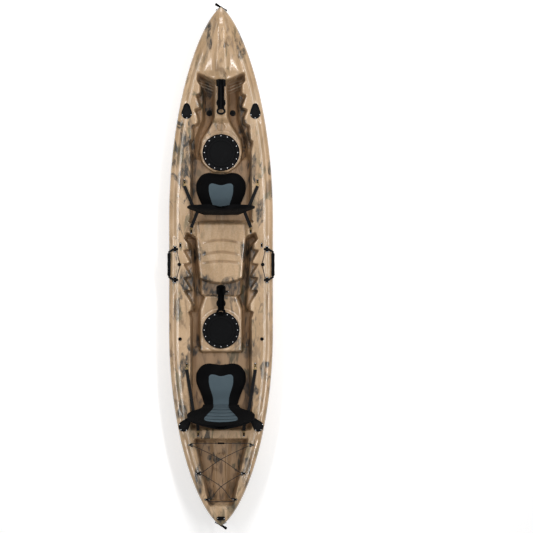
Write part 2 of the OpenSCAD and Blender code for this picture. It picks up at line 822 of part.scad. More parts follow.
module rest_bolt(y, z) {
    color("dimgray")
        translate([0, y, z + seat_gap + rest_pivot])
            rotate([0, 90, 0]) {
                translate([0, 0, -ear_out - 5])
                    cylinder(h = 2 * ear_out + 12, r = rest_bolt_r, $fn = 24);
                translate([0, 0, -ear_out - 5.3])
                    cylinder(h = 5, r = 7, $fn = 24);
                translate([0, 0, ear_out + 0.3]) {
                    cylinder(h = 12, r = 9, $fn = 24);
                    for (a = [0 : 72 : 288])
                        rotate(a)
                            translate([9, 0, 0])
                                cylinder(h = 12, r = 5, $fn = 24);
                }
            }
}
module rest_arm(y, z, tilt) {
    trough_z = 34;
    color("black")
        translate([0, y, z + seat_gap + rest_pivot])
            rotate([tilt, 0, 0])
                difference() {
                    union() {
                        translate([-12.5, -11, 0])
                            cube([25, 22, 12]);
                        translate([-12.5, 0, 0])
                            rotate([0, 90, 0])
                                cylinder(h = 25, r = 11, $fn = 32);
                        difference() {
                            translate([0, -44, trough_z])
                                rotate([-90, 0, 0])
                                    cylinder(h = 176, r = 25, $fn = 48);
                            translate([0, -60, trough_z])
                                rotate([-90, 0, 0])
                                    cylinder(h = 220, r = 21, $fn = 48);
                            translate([-40, -60, trough_z + 3])
                                cube([80, 220, 40]);
                        }
                        difference() {
                            translate([0, 128, trough_z])
                                rotate([-90, 0, 0])
                                    cylinder(h = 48, r = 36, $fn = 48);
                            translate([0, 120, trough_z])
                                rotate([-90, 0, 0])
                                    cylinder(h = 70, r = 24, $fn = 48);
                            translate([-15, 120, trough_z])
                                cube([30, 70, 60]);
                            translate([-50, 120, trough_z + 24])
                                cube([100, 70, 40]);
                        }
                        translate([0, -68, trough_z - 25])
                            linear_extrude(12)
                                difference() {
                                    scale([1.28, 1])
                                        circle(28, $fn = 48);
                                    scale([1.43, 1])
                                        circle(14, $fn = 32);
                                }
                    }
                    translate([-30, 0, 0])
                        rotate([0, 90, 0])
                            cylinder(h = 60, r = rest_bolt_r + pin_gap, $fn = 24);
                }
}
module front_rest_swivel() {
    rest_swivel(front_rest_y, console_z);
}
module rear_rest_swivel() {
    rest_swivel(rear_rest_y, hatch_z);
}
module front_rest_bolt() {
    rest_bolt(front_rest_y, console_z);
}
module rear_rest_bolt() {
    rest_bolt(rear_rest_y, hatch_z);
}
module front_rest_arm() {
    rest_arm(front_rest_y, console_z, front_rest_tilt);
}
module rear_rest_arm() {
    rest_arm(rear_rest_y, hatch_z, rear_rest_tilt);
}

// Pad eyes: a small base with an arch of wire, held by two screws
module pad_eye() {
    difference() {
        union() {
            translate([-13, -7, 0])
                cube([26, 14, eye_base_t]);
            for (s = [-1, 1])
                translate([s * 13, 0, 0])
                    cylinder(h = eye_base_t, r = 7, $fn = 24);
            translate([0, 0, eye_base_t - 0.5])
                rotate([90, 0, 0])
                    rotate_extrude(angle = 180, $fn = 32)
                        translate([eye_r, 0])
                            circle(eye_wire, $fn = 16);
        }
        for (s = [-1, 1])
            translate([s * eye_screw, 0, 0])
                bore(1.6);
    }
}
module eye_screw_pair() {
    for (s = [-1, 1])
        translate([s * eye_screw, 0, 0])
            screw(eye_base_t, 1.6);
}
function tank_eye_x(y) = (lookup(y, well_plan) + half_width(y) - roll_w) / 2;
module at_strap_eyes() {
    for (p = [front_side_eye, front_back_eye, rear_side_eye, rear_back_eye])
        for (s = [-1, 1])
            on_rail(s * p[0], p[1])
                rotate(eye_turn)
                    children();
}
module at_tank_eyes() {
    for (y = tank_eye_y)
        for (s = [-1, 1])
            on_rail(s * tank_eye_x(y), y)
                children();
}
module at_deck_eyes() {
    for (s = [-1, 1])
        on_rail(s * middle_eye[0], middle_eye[1])
            rotate(eye_turn)
                children();
    translate([trough_eye[0], trough_eye[1], trough_z + seat_gap])
        children();
}
module strap_eyes() {
    color("black")
        at_strap_eyes()
            pad_eye();
}
module tank_eyes() {
    color("black")
        at_tank_eyes()
            pad_eye();
}
module deck_eyes() {
    color("black")
        at_deck_eyes()
            pad_eye();
}
module eye_screws() {
    color("silver") {
        at_strap_eyes()
            eye_screw_pair();
        at_tank_eyes()
            eye_screw_pair();
        at_deck_eyes()
            eye_screw_pair();
    }
}

// Tank well shock cord: one cord laced through six eyes, its ends joined by a plastic sleeve
cord_r = cord_d / 2;
cord_up = seat_gap + eye_hole - 0.2;
lace_turn = [[36, 13], [13, 13], [4, 9.4], [0, 0], [4, -9.4], [13, -13], [36, -13]];
function lace_eye(side, i) = let (y = tank_eye_y[i]) [side * tank_eye_x(y), y, sheer(y) + cord_up];
function lace(side, i, d) = [for (p = lace_turn) lace_eye(side, i) + [-side * p[0], d * p[1], 0]];
function lace_over(i, up) = [0, (tank_eye_y[i] + tank_eye_y[i + 1]) / 2,
    (sheer(tank_eye_y[i]) + sheer(tank_eye_y[i + 1])) / 2 + cord_up + up];
function lace_end(side) = [side * 10, tank_eye_y[0] + 13, sheer(tank_eye_y[0]) + cord_up];
lace_route = concat([lace_end(1)], lace(1, 0, 1), [lace_over(0, 0)], lace(-1, 1, 1), [lace_over(1, 0)],
    lace(1, 2, 1), lace(-1, 2, -1), [lace_over(1, 7)], lace(1, 1, -1), [lace_over(0, 7)], lace(-1, 0, -1),
    [lace_end(-1)]);
module tank_bungee() {
    color("black")
        cord(lace_route, cord_r);
}
module bungee_hook() {
    color("dimgray")
        translate([-24, tank_eye_y[0] + 13, sheer(tank_eye_y[0]) + cord_up])
            rotate([0, 90, 0])
                difference() {
                    cylinder(h = 48, r = cord_r + 4, $fn = 32);
                    translate([0, 0, -1])
                        cylinder(h = 50, r = cord_r + 0.3, $fn = 24);
                }
}

// Side handles: two brackets with pins, a webbing strap that turns on them, and a tubular grip on the strap
paddle_cord_up = cord_r + 1.2;
paddle_boss = 16.5;
module handle_bracket(side) {
    difference() {
        union() {
            translate([-11, -25, 0])
                cube([22, 50, 4]);
            for (s = [-1, 1])
                translate([-6, s * 14.5 - 2, 3])
                    cube([12, 4, handle_pin_z + 2]);
            translate([-side * paddle_boss - 7, -9, 0])
                cube([14, 18, paddle_cord_up + cord_r + 2]);
            translate([0, -16, handle_pin_z])
                rotate([-90, 0, 0])
                    cylinder(h = 32, r = 2.5, $fn = 24);
        }
        translate([-side * paddle_boss, -30, paddle_cord_up])
            rotate([-90, 0, 0])
                cylinder(h = 60, r = cord_r + 0.3, $fn = 24);
        for (s = [-1, 1])
            translate([0, s * 21, 0])
                bore(2);
    }
}
module at_brackets(side) {
    for (d = [-1, 1])
        translate([side * handle_pin_x, handle_mid_y + d * handle_half, sheer(handle_mid_y) + seat_gap + 1])
            children();
}
module handle_brackets() {
    color("black")
        for (side = [-1, 1])
            at_brackets(side)
                handle_bracket(side);
}
module handle_screws() {
    color("silver")
        for (side = [-1, 1])
            at_brackets(side)
                for (s = [-1, 1])
                    translate([0, s * 21, 0])
                        screw(4, 2);
}
module at_handle(side) {
    translate([side * handle_pin_x, handle_mid_y, sheer(handle_mid_y) + seat_gap + 1 + handle_pin_z])
        children();
}
module handle_grip(side) {
    r = grip_d / 2;
    color("black")
        at_handle(side)
            translate([side * handle_reach, 0, 0])
                rotate([-90, 0, 0])
                    rotate_extrude($fn = 48)
                        polygon([[6.5, -grip_len / 2], [r - 3, -grip_len / 2], [r, 8 - grip_len / 2],
                            [r - 1.5, -grip_len / 6], [r, 0], [r - 1.5, grip_len / 6], [r, grip_len / 2 - 8],
                            [r - 3, grip_len / 2], [6.5, grip_len / 2]]);
}
module handle_strap(side) {
    x0 = side * 9;
    x1 = side * (handle_reach - 6);
    x2 = side * (handle_reach + 6);
    y1 = grip_len / 2 + 4;
    color("black")
        at_handle(side) {
            for (d = [-1, 1])
                difference() {
                    union() {
                        translate([0, 0, -1.5])
                            linear_extrude(3)
                                polygon([[0, d * (handle_half - 10)], [0, d * (handle_half + 10)],
                                    [x0, d * (handle_half + 10)], [x2, d * (y1 + 10)],
                                    [x2, d * (y1 - 12)], [x1, d * (y1 - 12)], [x1, d * y1],
                                    [x0, d * (handle_half - 10)]]);
                        translate([0, d * handle_half - 10, 0])
                            rotate([-90, 0, 0])
                                cylinder(h = 20, r = 4.8, $fn = 32);
                    }
                    translate([0, d * handle_half - 20, 0])
                        rotate([-90, 0, 0])
                            cylinder(h = 40, r = 2.5 + pin_gap, $fn = 24);
                }
            translate([side * handle_reach, -grip_len / 2, 0])
                rotate([-90, 0, 0])
                    cylinder(h = grip_len, r = 6.2, $fn = 32);
        }
}
module port_handle_grip() {
    handle_grip(-1);
}
module starboard_handle_grip() {
    handle_grip(1);
}
module port_handle_strap() {
    handle_strap(-1);
}
module starboard_handle_strap() {
    handle_strap(1);
}

// Paddle loops: a shock cord from one handle bracket round a deck button to the other bracket
button_neck = 9;
function paddle_route(side) = let (z = sheer(handle_mid_y) + seat_gap + 1 + paddle_cord_up,
        r = button_neck + cord_r + 0.7,
        x = handle_pin_x - paddle_boss,
        y = handle_half - 4)
    [for (p = concat([[x, y], [x, y - 12], [x - 4, y - 40]],
            [for (a = [64, 40, 14, -14, -40, -64]) [button_x - r * cos(a), r * sin(a)]],
            [[x - 4, 40 - y], [x, 12 - y], [x, -y]])) [side * p[0], handle_mid_y + p[1], z]];
module port_paddle_bungee() {
    color("black")
        cord(paddle_route(-1), cord_r);
}
module starboard_paddle_bungee() {
    color("black")
        cord(paddle_route(1), cord_r);
}
module deck_buttons() {
    color("black")
        for (p = [[button_x, handle_mid_y], deck_button])
            for (side = [-1, 1])
                on_rail(side * p[0], p[1])
                    rotate_extrude($fn = 48)
                        polygon([[0, 0], [button_neck, 0], [button_neck, 8], [13, 9], [13, 11],
                            [9, 13], [0, 13]]);
}

// Stern drain: an oval flange with a screw plug on a ring seal
module drain_flange() {
    color("black")
        on_rail(0, drain_in - half_len)
            difference() {
                linear_extrude(4)
                    hull() {
                        translate([-17, 0])
                            circle(15, $fn = 32);
                        translate([17, 0])
                            circle(15, $fn = 32);
                    }
                bore(drain_r + 0.1);
                for (s = [-1, 1])
                    translate([s * 25, 0, 0])
                        bore(2);
            }
}
module drain_screws() {
    color("silver")
        on_rail(0, drain_in - half_len)
            for (s = [-1, 1])
                translate([s * 25, 0, 0])
                    screw(4, 2);
}
module drain_plug() {
    color("black")
        on_rail(0, drain_in - half_len)
            difference() {
                union() {
                    translate([0, 0, -12])
                        cylinder(h = 22, r = drain_r, $fn = 32);
                    translate([0, 0, 6])
                        cylinder(h = 7, r = 13, $fn = 32);
                }
                translate([-14, -1.5, 10])
                    cube([28, 3, 6]);
            }
}
module drain_seal() {
    color("darkred")
        on_rail(0, drain_in - half_len)
            translate([0, 0, 5])
                ring_of_wire(drain_r + 2, 0.9);
}

// Seat pads: a crowned cushion with a two-lobed front edge and a channel on each side of its centre panel
pad_edge = 12;
pad_dip = 12;
pad_corner = 58;
pad_seam = 0.47;
pad_side = [0.22, 0.41, 0.47, 0.53, 0.62, 0.82, 0.95, 1];
pad_across = concat([for (i = [len(pad_side) - 1 : -1 : 0]) -pad_side[i]], [0], pad_side);
pad_down = [1, 0.97, 0.9, 0.78, 0.66, 0.5, 0.35, 0.22, 0.12, 0.06, 0.02, 0];
function pad_half(v) = pad_w / 2 * (1 - 0.29 * smooth(0.3, 1, v)) * (1 - 0.07 * pow(abs(2 * v - 1), 8));
function pad_y(u, v) = pad_len * (1 - v)
    - (pad_dip * pow(cos(90 * min(1, abs(u) / 0.6)), 2) + pad_corner * pow(abs(u), 6)) * pow(1 - v, 2);
function pad_top(u, v) = pad_edge + (pad_h - pad_edge) * pow(1 - pow(abs(u), 4), 0.6) * smooth(-0.03, 0.16, v)
    * (1 - 0.8 * smooth(0.6, 1.02, v)) - 5 * max(0, 1 - abs(abs(u) - pad_seam) / 0.06) * smooth(0, 0.1, v);
function pad_ring(v) = concat(
    [for (u = [-1, -0.5, 0, 0.5, 1]) [0.95 * u * pad_half(v), pad_y(u, v), 0]],
    [for (i = [len(pad_across) - 1 : -1 : 0])
        let (u = pad_across[i]) [u * pad_half(v), pad_y(u, v), pad_top(u, v)]]);
module seat_pad(y) {
    color("dimgray")
        translate([0, y + 6, seat_z + seat_gap])
            loft([for (v = pad_down) pad_ring(v)]);
}
module front_seat_pad() {
    seat_pad(front_back_y);
}
module rear_seat_pad() {
    seat_pad(rear_back_y);
}

// Backrests: a padded panel, narrow at the foot and arched at the top, with ribs across its centre panel
back_edge = 8;
back_wrap = 26;
back_ribs = [0.28, 0.42, 0.56, 0.7];
back_side = [0.2, 0.42, 0.48, 0.54, 0.6, 0.78, 0.94, 1];
back_across = concat([for (i = [len(back_side) - 1 : -1 : 0]) -back_side[i]], [0], back_side);
back_up = [0, 0.04, 0.12, 0.2, 0.25, 0.28, 0.31, 0.39, 0.42, 0.45, 0.53, 0.56, 0.59, 0.67, 0.7, 0.73,
    0.82, 0.9, 0.96, 1];
function back_half(w) = mix(140, back_w / 2, smooth(0.03, 0.6, w))
    * sqrt(1 - pow(max(0, (w - 0.55) / 0.47), 3));
function back_thick(u, w) = back_edge + (back_t - back_edge) * pow(1 - pow(abs(u), 4), 0.6)
    * smooth(-0.05, 0.3, w) * (1 - 0.6 * smooth(0.85, 1.03, w));
function back_bend(u, w) = back_wrap * u * u * smooth(0.1, 0.5, w);
function back_rib(u, w) = abs(u) > 0.45 ? 0 : 4 * max([for (r = back_ribs) 1 - min(1, abs(w - r) / 0.03)]);
function back_seam(u, w) = 4 * max(0, 1 - abs(abs(u) - 0.48) / 0.06) * smooth(0, 0.2, w);
function back_front(u, w) = [u * back_half(w), back_bend(u, w) + back_thick(u, w) / 2 - max(back_rib(u, w),
    back_seam(u, w)), back_h * w];
function back_rear(u, w) = [u * back_half(w), back_bend(u, w) - back_thick(u, w) / 2, back_h * w];
function back_ring(w) = concat(
    [for (u = back_across) back_front(u, w)],
    [for (u = [0.97, 0.7, 0.35, 0, -0.35, -0.7, -0.97]) back_rear(u, w)]);
module backrest(y, lean) {
    color("dimgray")
        translate([0, y, back_hinge_z])
            rotate([lean, 0, 0])
                loft([for (w = back_up) back_ring(w)]);
}
module front_backrest() {
    backrest(front_back_y, front_lean);
}
module rear_backrest() {
    backrest(rear_back_y, rear_lean);
}

// Seat straps: webbing from a snap hook on a pad eye to the side or the back of a backrest
strap_t = 2.2;
strap_stand = 5;
rear_strap_stand = 2.6;
side_tie = [0.9, 0.44];
back_tie = [0.7, 0.56];
function leaned(p, y, lean) = [p[0], y + p[1] * cos(lean) - p[2] * sin(lean),
    back_hinge_z + p[1] * sin(lean) + p[2] * cos(lean)];
function side_end(side, y, lean) =
    leaned(back_front(side * side_tie[0], side_tie[1]) + [0, strap_stand, 0], y, lean);
function back_end(side, y, lean) = let (stand = y > 0 ? strap_stand : rear_strap_stand)
    leaned(back_rear(side * back_tie[0], back_tie[1]) - [0, stand, 0], y, lean);
function eye_point(side, eye) = [side * eye[0], eye[1], sheer(eye[1]) + seat_gap + eye_hole - 0.2];
function pull_angle(a, b) = atan((b[2] - a[2]) / abs(b[1] - a[1]));
function pull_start(a, b, d) = let (
        t = pull_angle(a, b),
        skew = strap_w / 2 * abs(b[0] - a[0]) / norm(b - a))
    a + (hook_bar + 0.6 + skew) * [0, d * cos(t), sin(t)];
function strap_ring(p, t) = let (s = sideways(t) * strap_w / 2, u = cross(sideways(t), t) * strap_t / 2)
    [p - s - u, p + s - u, p + s + u, p - s + u];
module strap(eye, end, d) {
    a = pull_start(eye, end, d);
    t = unit(end - a);
    loft([strap_ring(a, t), strap_ring(end, t)]);
}
module front_side_straps() {
    color("black")
        for (side = [-1, 1])
            strap(eye_point(side, front_side_eye), side_end(side, front_back_y, front_lean), -1);
}
module front_back_straps() {
    color("black")
        for (side = [-1, 1])
            strap(eye_point(side, front_back_eye), back_end(side, front_back_y, front_lean), 1);
}
module rear_side_straps() {
    color("black")
        for (side = [-1, 1])
            strap(eye_point(side, rear_side_eye), side_end(side, rear_back_y, rear_lean), -1);
}
module rear_back_straps() {
    color("black")
        for (side = [-1, 1])
            strap(eye_point(side, rear_back_eye), back_end(side, rear_back_y, rear_lean), 1);
}
module snap_hook(eye, end, d) {
    translate(eye)
        rotate([pull_angle(eye, end), 0, d > 0 ? 0 : 180]) {
            translate([0, hook_r, 0])
                ring_of_wire(hook_r, hook_wire);
            translate([0, 2 * hook_r + hook_wire + 0.1, 0])
                rotate([-90, 0, 0])
                    cylinder(h = hook_bar - 2 * hook_r - hook_wire - 2, r = 3.5, $fn = 24);
            translate([-strap_w / 2 - 2, hook_bar - 4, -2])
                cube([strap_w + 4, 4, 4]);
        }
}
module snap_hooks() {
    color("goldenrod")
        for (side = [-1, 1]) {
            snap_hook(eye_point(side, front_side_eye), side_end(side, front_back_y, front_lean), -1);
            snap_hook(eye_point(side, front_back_eye), back_end(side, front_back_y, front_lean), 1);
            snap_hook(eye_point(side, rear_side_eye), side_end(side, rear_back_y, rear_lean), -1);
            snap_hook(eye_point(side, rear_back_eye), back_end(side, rear_back_y, rear_lean), 1);
        }
}

// Bow and stern toggles: a grip on a cord through the stem hole, hanging forward of the stem
toggle_leg = [[28, 0, 0], [33, 1, 0], [37.5, 5, 0], [39.5, 12, 0], [37, 20, 0], [24, 34, 1.5],
    [11, 46, 3], [5.5, 53, 3.4], [4.9, 62, 3.4], [4.9, 76, 3.4]];
toggle_turned = [for (p = toggle_leg) [p[0], p[1], -p[2]]];
toggle_route = concat([for (i = [len(toggle_leg) - 1 : -1 : 0])
        [-toggle_leg[i][0], toggle_leg[i][1], toggle_leg[i][2]]],
    [[0, 0, 0]], toggle_turned);
module at_stem(d) {
    translate([0, d * (half_len - stem_hole_in), sheer(d * half_len) - stem_hole_drop])
        rotate([-toggle_droop, 0, d > 0 ? 0 : 180])
            children();
}
module toggle(d) {
    r = toggle_d / 2;
    color("black")
        at_stem(d)
            difference() {
                translate([0, toggle_reach, 0])
                    rotate([0, toggle_roll, 0])
                        rotate([0, 90, 0])
                            rotate_extrude($fn = 48)
                                polygon([[0, -toggle_len / 2], [r - 3, -toggle_len / 2],
                                    [r, 3 - toggle_len / 2],
                                    [r, 8 - toggle_len / 2], [r - 2.5, -16], [r - 1, 0], [r - 2.5, 16],
                                    [r, toggle_len / 2 - 8], [r, toggle_len / 2 - 3], [r - 3, toggle_len / 2],
                                    [0, toggle_len / 2]]);
                for (s = [-1, 1])
                    translate([s * 4.9, toggle_reach - 40, -s * 3.4])
                        rotate([-90, 0, 0])
                            cylinder(h = 80, r = toggle_cord_r + 0.3, $fn = 24);
            }
}
module toggle_cord(d) {
    color("black")
        at_stem(d)
            cord(toggle_route, toggle_cord_r);
}
module bow_toggle() {
    toggle(1);
}
module bow_toggle_cord() {
    toggle_cord(1);
}
module stern_toggle() {
    toggle(-1);
}
module stern_toggle_cord() {
    toggle_cord(-1);
}

// Scupper plugs: a flanged rubber bung with a pull tab in each front scupper
module scupper_plug(side) {
    color("black")
        translate([side * scupper[0], scupper[1], foot_z + seat_gap]) {
            rotate_extrude($fn = 48)
                polygon([[0, -26], [scupper_r - 3, -26], [scupper_r - 0.1, -8], [scupper_r - 0.1, 0],
                    [scupper_r + 5, 0], [scupper_r + 5, 3], [scupper_r + 2, 6], [0, 6]]);
            translate([0, 0, 5.5])
                rotate([90, 0, 0])
                    rotate_extrude(angle = 180, $fn = 32)
                        translate([9, 0])
                            circle(2.5, $fn = 16);
        }
}
module port_scupper_plug() {
    scupper_plug(-1);
}
module starboard_scupper_plug() {
    scupper_plug(1);
}

hull_shell();
front_hatch_rim();
rear_hatch_rim();
hatch_screws();
bow_port_rod_tube();
bow_starboard_rod_tube();
stern_port_rod_tube();
stern_starboard_rod_tube();
rod_tube_screws();
front_rod_base();
rear_rod_base();
rod_base_screws();
strap_eyes();
tank_eyes();
deck_eyes();
eye_screws();
tank_bungee();
bungee_hook();
handle_brackets();
handle_screws();
port_paddle_bungee();
starboard_paddle_bungee();
deck_buttons();
drain_flange();
drain_screws();
front_seat_pad();
rear_seat_pad();
front_side_straps();
front_back_straps();
rear_side_straps();
rear_back_straps();
snap_hooks();
front_hatch_gasket();
front_hatch_lid();
rear_hatch_gasket();
rear_hatch_lid();
bow_port_rod_cap();
bow_starboard_rod_cap();
stern_port_rod_cap();
stern_starboard_rod_cap();
front_rest_swivel();
front_rest_bolt();
front_rest_arm();
rear_rest_swivel();
rear_rest_bolt();
rear_rest_arm();
front_backrest();
rear_backrest();
port_handle_grip();
port_handle_strap();
starboard_handle_grip();
starboard_handle_strap();
bow_toggle();
bow_toggle_cord();
stern_toggle();
stern_toggle_cord();
drain_plug();
drain_seal();
port_scupper_plug();
starboard_scupper_plug();
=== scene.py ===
"""A tandem sit-on-top kayak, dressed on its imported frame: moulded camouflage hull, padded seats, cords and fittings."""
import json

import bmesh
import bpy
import numpy as np
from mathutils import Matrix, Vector


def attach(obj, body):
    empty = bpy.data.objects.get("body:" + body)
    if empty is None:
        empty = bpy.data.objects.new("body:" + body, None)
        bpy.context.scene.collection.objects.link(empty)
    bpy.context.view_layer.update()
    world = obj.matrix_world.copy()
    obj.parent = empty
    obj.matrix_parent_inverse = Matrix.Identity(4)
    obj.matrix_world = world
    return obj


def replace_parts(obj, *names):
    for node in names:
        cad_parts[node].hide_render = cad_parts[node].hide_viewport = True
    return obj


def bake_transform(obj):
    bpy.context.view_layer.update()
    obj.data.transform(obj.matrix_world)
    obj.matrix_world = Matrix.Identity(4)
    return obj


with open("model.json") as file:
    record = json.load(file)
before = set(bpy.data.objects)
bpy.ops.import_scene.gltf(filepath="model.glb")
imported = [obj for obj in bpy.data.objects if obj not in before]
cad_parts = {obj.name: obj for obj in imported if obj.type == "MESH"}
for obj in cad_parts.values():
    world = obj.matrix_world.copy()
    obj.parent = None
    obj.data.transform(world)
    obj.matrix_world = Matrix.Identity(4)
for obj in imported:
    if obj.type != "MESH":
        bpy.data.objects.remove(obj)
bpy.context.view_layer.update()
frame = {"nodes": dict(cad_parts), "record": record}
nodes = frame["nodes"]

# The studio: a pale floor, a strip lamp above each rail, a third lamp off the bow, and a camera straight over
# the middle of the boat with the bow at the top of the frame.
scene = bpy.context.scene
scene.view_settings.view_transform = "Standard"
IMAGE_PX = 533
CENTRELINE_PX = 221
CAMERA_HEIGHT = 14.3
DECK_HEIGHT = 0.30
FRAME_WIDTH = 4.08
lens = bpy.data.cameras.new("studio_camera")
lens.sensor_width = 36
lens.lens = lens.sensor_width * (CAMERA_HEIGHT - DECK_HEIGHT) / FRAME_WIDTH
lens.shift_x = (IMAGE_PX / 2 - CENTRELINE_PX) / IMAGE_PX
scene.camera = bpy.data.objects.new("studio_camera", lens)
scene.camera.location = (0, 0, CAMERA_HEIGHT)
scene.collection.objects.link(scene.camera)


def lamp(name, place, target, size, power):
    """A rectangular area lamp at place that faces target; size is its length along the boat and its depth."""
    light = bpy.data.lights.new(name, "AREA")
    light.shape = "RECTANGLE"
    light.size, light.size_y, light.energy = *size, power
    held = bpy.data.objects.new(name, light)
    held.location = place
    held.rotation_mode = "QUATERNION"
    held.rotation_quaternion = Vector(np.subtract(target, place)).to_track_quat("-Z", "Y")
    scene.collection.objects.link(held)


lamp("port_strip", (-1.5, 0.3, 4.6), (0, 0, 0.3), (4.6, 0.35), 66)
lamp("starboard_strip", (1.5, 0.3, 4.6), (0, 0, 0.3), (4.6, 0.35), 92)
lamp("bow_lamp", (0.4, 4.6, 3.4), (0, 0.9, 0.2), (1.6, 1.6), 55)


class Tone:
    """A shader socket that joins in Python sums: each operator adds one Math node."""

    def __init__(self, tree, socket=None):
        self.tree, self.socket = tree, socket

    def node(self, kind, settings=None, links=None, out=0):
        """Adds a node of that type, sets it up, fills its sockets and gives one of its outputs."""
        made = self.tree.nodes.new("ShaderNode" + kind)
        for name, value in (settings or {}).items():
            if name == "stops":
                ends = made.color_ramp.elements
                ends[0].position, ends[0].color = value[0][0], (*value[0][1], 1)
                ends[1].position, ends[1].color = value[-1][0], (*value[-1][1], 1)
                for place, colour in value[1:-1]:
                    ends.new(place).color = (*colour, 1)
            else:
                setattr(made, name, value)
        for name, value in (links or {}).items():
            if isinstance(value, Tone):
                self.tree.links.new(value.socket, made.inputs[name])
            else:
                made.inputs[name].default_value = value
        return Tone(self.tree, made.outputs[out])

    def math(self, operation, first, second=0.0):
        return self.node("Math", {"operation": operation}, {0: first, 1: second})

    def __add__(self, other):
        return self.math("ADD", self, other)

    def __sub__(self, other):
        return self.math("SUBTRACT", self, other)

    def __rsub__(self, other):
        return self.math("SUBTRACT", other, self)

    def __mul__(self, other):
        return self.math("MULTIPLY", self, other)

    __radd__, __rmul__ = __add__, __mul__

    def sin(self):
        return self.math("SINE", self)

    def larger(self, other):
        return self.math("MAXIMUM", self, other)

    def step(self, low, high):
        """Rises smoothly from 0 at low to 1 at high."""
        return self.node("MapRange", {"interpolation_type": "SMOOTHSTEP"},
                         {"Value": self, "From Min": low, "From Max": high})

    def paint(self, under, over):
        """Colour over where this tone is 1, and under where it is 0."""
        return self.node("Mix", {"data_type": "RGBA"}, {0: self, 6: under, 7: over}, out=2)

    def shaken(self, scale, detail=3.0, stretch=(1, 1, 1), offset=(0, 0, 0), distortion=0.0):
        """Noise on the piece's own coordinates, stretched along its axes."""
        place = self.node("TexCoord", out=3)
        laid = self.node("Mapping", links={"Vector": place, "Location": offset, "Scale": stretch})
        return self.node("TexNoise", links={"Vector": laid, "Scale": scale, "Detail": detail,
                                            "Distortion": distortion})

    def axes(self):
        """The piece's own x, y and z, in metres."""
        place = self.node("TexCoord", out=3)
        return [self.node("SeparateXYZ", links={"Vector": place}, out=k) for k in range(3)]

    def bump(self, height, distance, strength=1.0):
        return self.node("Bump", links={"Strength": strength, "Distance": distance, "Height": height})


def finish(name, make):
    """A material whose shader sockets take what make(tone) gives: a number, a colour or a Tone."""
    material = bpy.data.materials.new(name)
    material.use_nodes = True
    tree = material.node_tree
    shader = tree.nodes["Principled BSDF"]
    for socket, value in make(Tone(tree)).items():
        if isinstance(value, Tone):
            tree.links.new(value.socket, shader.inputs[socket])
        else:
            shader.inputs[socket].default_value = value
    return material


def surface(name, grid, material, body=None, uv=None, keep=None, marks=None):
    """A mesh through a grid of points (rows, columns, 3) in metres; doubled edges and poles are merged."""
    rows, columns = grid.shape[:2]
    i, j = np.meshgrid(np.arange(rows - 1), np.arange(columns - 1), indexing="ij")
    corner = i * columns + j
    quads = np.stack([corner, corner + 1, corner + columns + 1, corner + columns], -1).reshape(-1, 4)
    points = grid.reshape(-1, 3)
    if keep is not None:
        quads = quads[keep(points[quads].mean(1))]
    mesh = bpy.data.meshes.new(name)
    mesh.from_pydata(points, [], quads.tolist())
    if uv is not None:
        layer = mesh.uv_layers.new(name="UVMap")
        layer.data.foreach_set("uv", uv.reshape(-1, 2)[quads.ravel()].astype(np.float32).ravel())
    for mark, values in (marks or {}).items():
        mesh.attributes.new(mark, "FLOAT", "POINT").data.foreach_set("value", values.astype(np.float32).ravel())
    shaped = bmesh.new()
    shaped.from_mesh(mesh)
    bmesh.ops.remove_doubles(shaped, verts=shaped.verts, dist=1e-6)
    bmesh.ops.dissolve_degenerate(shaped, edges=shaped.edges, dist=1e-7)
    bmesh.ops.delete(shaped, geom=[v for v in shaped.verts if not v.link_faces], context="VERTS")
    bmesh.ops.recalc_face_normals(shaped, faces=shaped.faces)
    shaped.to_mesh(mesh)
    shaped.free()
    mesh.polygons.foreach_set("use_smooth", np.ones(len(mesh.polygons), bool))
    mesh.materials.append(material)
    made = bpy.data.objects.new(name, mesh)
    scene.collection.objects.link(made)
    if body:
        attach(made, body)
    return made


FLOOR_REACH, FLOOR_Z, FLOOR_GLOW, AIR_STRENGTH = 14.0, -0.001, 0.40, 0.27


def floor_paint(tone):
    """Matt white that glows a little to the camera and in reflections, so that it looks white but keeps the shadow."""
    seen = tone.node("LightPath", out=0)
    glossy = tone.node("LightPath", out=3)
    glow = seen.larger(glossy).paint((0, 0, 0, 1), (FLOOR_GLOW, FLOOR_GLOW, FLOOR_GLOW, 1))
    return {"Base Color": (0.92, 0.92, 0.92, 1), "Roughness": 0.9, "Specular IOR Level": 0.1,
            "Emission Color": glow, "Emission Strength": 1.0}


edge = np.linspace(-FLOOR_REACH, FLOOR_REACH, 3)
floor_grid = np.stack([*np.meshgrid(edge, edge), np.full((3, 3), FLOOR_Z)], -1)
floor = surface("studio_floor", floor_grid, finish("pale_floor", floor_paint))
world = bpy.data.worlds.new("studio_air")
world.use_nodes = True
background = world.node_tree.nodes["Background"]
background.inputs["Color"].default_value = (1, 1, 1, 1)
background.inputs["Strength"].default_value = AIR_STRENGTH
scene.world = world


